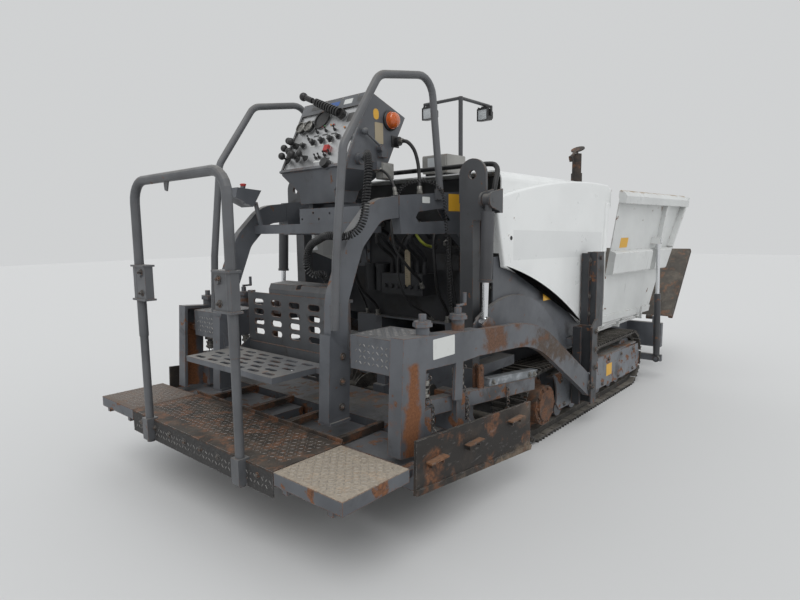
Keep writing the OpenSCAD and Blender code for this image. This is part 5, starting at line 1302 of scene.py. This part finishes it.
class PAVER_OT_blank_signs(bpy.types.Operator):
    """Blank stickers and plates on the machine's sides"""

    bl_idname = "paver.blank_signs"
    bl_label = "Blank signs"

    def execute(self, context):
        for side, s in SIDES:
            for (x, y, z), width, height, finish, body in SIGNS:
                blank_plate(frame_at((x, s * y, z), (0, s, 0), (-s, 0, 0)), width, height, finish, body)
            place = from_wing(s) @ frame_at((0.230, 0.008, 0.725), OUT)
            blank_plate(place, 0.150, 0.085, "sticker_yellow", "wing_" + side)
        return {"FINISHED"}


class PAVER_OT_side_gear(bpy.types.Operator):
    """Nuts, collars, drop chains, link bar and lug inside the screed's side frames"""

    bl_idname = "paver.side_gear"
    bl_label = "Side frame gear"

    def spindle(self, x, y=0.955):
        """Nut and collar of a spindle, and the turns of its thread that show."""
        at = shift(x, y, 0)
        nut = carry(barrel((0, 0, 0.716), UP, 0.035, 0.026, 6, bevel=0.002), at)
        collar = turned([
            (0.031, 0.660), (0.031, 0.672), (0.024, 0.676), (0.024, 0.690), (0.029, 0.694),
            (0.029, 0.702), (0.020, 0.704)])
        carry(collar, at)
        thread = []
        for k in range(3):
            foot = 0.003 * k
            ridge = [(0.0195, 0.6510 + foot), (0.0215, 0.6522 + foot), (0.0195, 0.6535 + foot)]
            thread.append(carry(turned(ridge, 24), at))
        return [nut, collar], thread

    def link_lug(self, x):
        """Rusty lug of two round-topped plates on the lower beam, with its pin."""
        foot = beam_top(x) - 0.002
        half, height = 0.026, 0.112
        outline = [(-half, 0.0), (half, 0.0), (half, height)]
        for degrees in range(20, 180, 20):
            a = math.radians(degrees)
            outline.append((half * math.cos(a), height + half * math.sin(a)))
        outline.append((-half, height))
        plates = []
        for y in (0.908, 0.940):
            plates.append(carry(prism(outline, 0.012, 0.0015), frame_at((x, y, foot), OUT) @ MIRROR))
        return [*plates, barrel((x, 0.902, foot + height), OUT, 0.011, 0.058, 20, bevel=0.002)]

    def execute(self, context):
        slope = Vector((1, 0, beam_top(1) - beam_top(0))).normalized()
        eye_turn = turn_by(90, "Y")
        for side, s in SIDES:
            flip = MIRROR if s < 0 else Matrix.Identity(4)

            def keep(name, pieces, finish):
                done(outward(carry(joined(name + side, pieces), flip)), finish, "screed")

            nuts, chains, threads = [], [], []
            for x in (-1.955, -1.665):
                nut, thread = self.spindle(x)
                nuts += nut
                threads += thread
                chains.append(hoop(0.010, 0.003, shift(x + 0.012, 0.988, 0.752) @ eye_turn))
                chains += chain(x + 0.012, 0.976, 0.734)
            for x in (-1.900, -1.600, -1.180):
                top = beam_top(x) - 0.030
                chains.append(hoop(0.009, 0.003, shift(x, 0.966, top) @ eye_turn))
                chains += chain(x, 0.971, top - 0.016, 0.0100, 0.0027)
            keep("spindle_nuts_", nuts, "zinc")
            keep("spindle_threads_", threads, "bolt")
            keep("drop_chains_", chains, "bolt")
            # Galvanised link bar that lies on the lower beam, with its bolts
            place = frame_at((-1.360, 0.931, beam_top(-1.360) + 0.0005), (-slope.z, 0, slope.x), slope)
            keep("link_bar_", [
                carry(block((0, -0.024, 0), (0.560, 0.024, 0.040), 0.003), place),
                carry(block((-0.006, -0.028, 0.039), (0.566, 0.028, 0.047), 0.002), place),
            ], "galvanised")
            heads = [
                carry(hex_bolt(0.020, 0.006), place @ frame_at((x, 0.024, 0.020), OUT))
                for x in (0.040, 0.470, 0.530)]
            keep("link_bolts_", heads, "zinc")
            keep("link_lug_", self.link_lug(-1.435), "rust")
        return {"FINISHED"}


# Rubber edge round the rear opening of the hood, from its left foot to its top
HOOD_EDGE = (
    (-1.168, 0.856, 1.600), (-1.172, 0.858, 1.650), (-1.150, 0.856, 1.720), (-1.112, 0.846, 1.780),
    (-1.084, 0.820, 1.820), (-1.076, 0.770, 1.838), (-1.075, 0.600, 1.841), (-1.075, 0.300, 1.841),
)


class PAVER_OT_trim(bpy.types.Operator):
    """Rubber edge, locks, scale plate and switch cabinet"""

    bl_idname = "paver.trim"
    bl_label = "Trim"

    def hood_edge(self):
        """Rubber edge of the hood, in short overlapping lengths."""
        points = [(x, -y, z) for x, y, z in HOOD_EDGE] + list(reversed(HOOD_EDGE))
        line = smooth_route(points, 5)
        strip = []
        for a, b in zip(line, line[1:]):
            strip.append(barrel(a - (b - a) * 0.15, b - a, 0.015, (b - a).length * 1.3, 12))
        done(outward(joined("hood_edge", strip)), "soot_black")

    def cover_lock(self, side, s):
        """Lock of a side cover."""
        at, normal = surface_point("side_cover_" + side, (-1.005, s * 1.2, 1.399), (0, -s, 0))
        lock = turned([
            (0.013, -0.002), (0.013, 0.0015), (0.011, 0.003), (0.008, 0.003), (0.008, 0.0015),
            (0.001, 0.0015)], 24)
        done(carry(lock, frame_at(at, normal)), "black")

    def scale_plate(self):
        """Scale in front of the valve block."""
        at, _ = surface_point("bulkhead", (-2.0, -0.060, 1.120), FORWARD)
        place = frame_at(at, BACK, RIGHT)
        plate = prism([(-0.024, -0.060), (0.024, -0.060), (0.024, 0.200), (-0.024, 0.200)], 0.004, 0.001)
        done(carry(plate, place), "sticker_beige")
        marks = []
        for k in range(15):
            y, end = 0.012 * k, -0.002 if k % 5 else 0.008
            marks.append(carry(block((-0.018, 0.006 + y, 0.0035), (end, 0.008 + y, 0.0046)), place))
        done(joined("scale_marks", marks), "black")

    def cabinet(self):
        """Switch cabinet on the hood, with its feet, studs and pane."""
        (x, y, z), _ = surface_point("hood", (-0.860, -0.265, 3.0), (0, 0, -1))

        def box(lo, hi, bevel):
            return block((x + lo[0], y + lo[1], z + lo[2]), (x + hi[0], y + hi[1], z + hi[2]), bevel)

        feet = [
            box((-0.085, dy - 0.010, -0.001), (0.085, dy + 0.010, 0.030), 0.003)
            for dy in (-0.075, 0.075)]
        done(joined("cabinet_feet", feet), "soot_black")
        body = box((-0.095, -0.105, 0.029), (0.120, 0.105, 0.150), 0.008)
        door = box((-0.103, -0.098, 0.036), (-0.093, 0.098, 0.143), 0.004)
        done(joined("cabinet", [body, door]), "box_grey")
        studs = []
        for dy in (-0.078, 0.078):
            for dz in (0.056, 0.124):
                stud = turned([(0.011, 0), (0.011, 0.010), (0.008, 0.012), (0.001, 0.012)], 20)
                studs.append(carry(stud, frame_at((x - 0.102, y + dy, z + dz), BACK)))
        done(joined("cabinet_studs", studs), "black")
        done(box((-0.106, -0.050, 0.050), (-0.101, 0.050, 0.130), 0.002), "lamp_glass")

    def execute(self, context):
        self.hood_edge()
        for side, s in SIDES:
            self.cover_lock(side, s)
        self.scale_plate()
        self.cabinet()
        return {"FINISHED"}


class PAVER_PT_panel(bpy.types.Panel):
    """Buttons and colours in the sidebar"""

    bl_label = "Paver"
    bl_idname = "PAVER_PT_panel"
    bl_space_type = "VIEW_3D"
    bl_region_type = "UI"
    bl_category = "Paver"

    def draw(self, context):
        for operator in OPERATORS:
            self.layout.operator(operator.bl_idname)
        for name in PaverLook.__annotations__:
            self.layout.prop(context.scene.paver_look, name)


OPERATORS = (
    PAVER_OT_stage, PAVER_OT_finishes, PAVER_OT_cables, PAVER_OT_controls, PAVER_OT_lamps, PAVER_OT_bolts,
    PAVER_OT_tread, PAVER_OT_blank_signs, PAVER_OT_side_gear, PAVER_OT_trim,
)
CLASSES = (PaverLook, *OPERATORS, PAVER_PT_panel)


def register():
    for cls in CLASSES:
        bpy.utils.register_class(cls)
    bpy.types.Scene.paver_look = PointerProperty(type=PaverLook)


def unregister():
    del bpy.types.Scene.paver_look
    for cls in reversed(CLASSES):
        bpy.utils.unregister_class(cls)


def main():
    """Build every piece in order."""
    register()
    bpy.ops.paver.stage()
    bpy.ops.paver.finishes()
    bpy.ops.paver.cables()
    bpy.ops.paver.controls()
    bpy.ops.paver.lamps()
    bpy.ops.paver.bolts()
    bpy.ops.paver.tread()
    bpy.ops.paver.blank_signs()
    bpy.ops.paver.side_gear()
    bpy.ops.paver.trim()


if __name__ == "__main__":
    main()
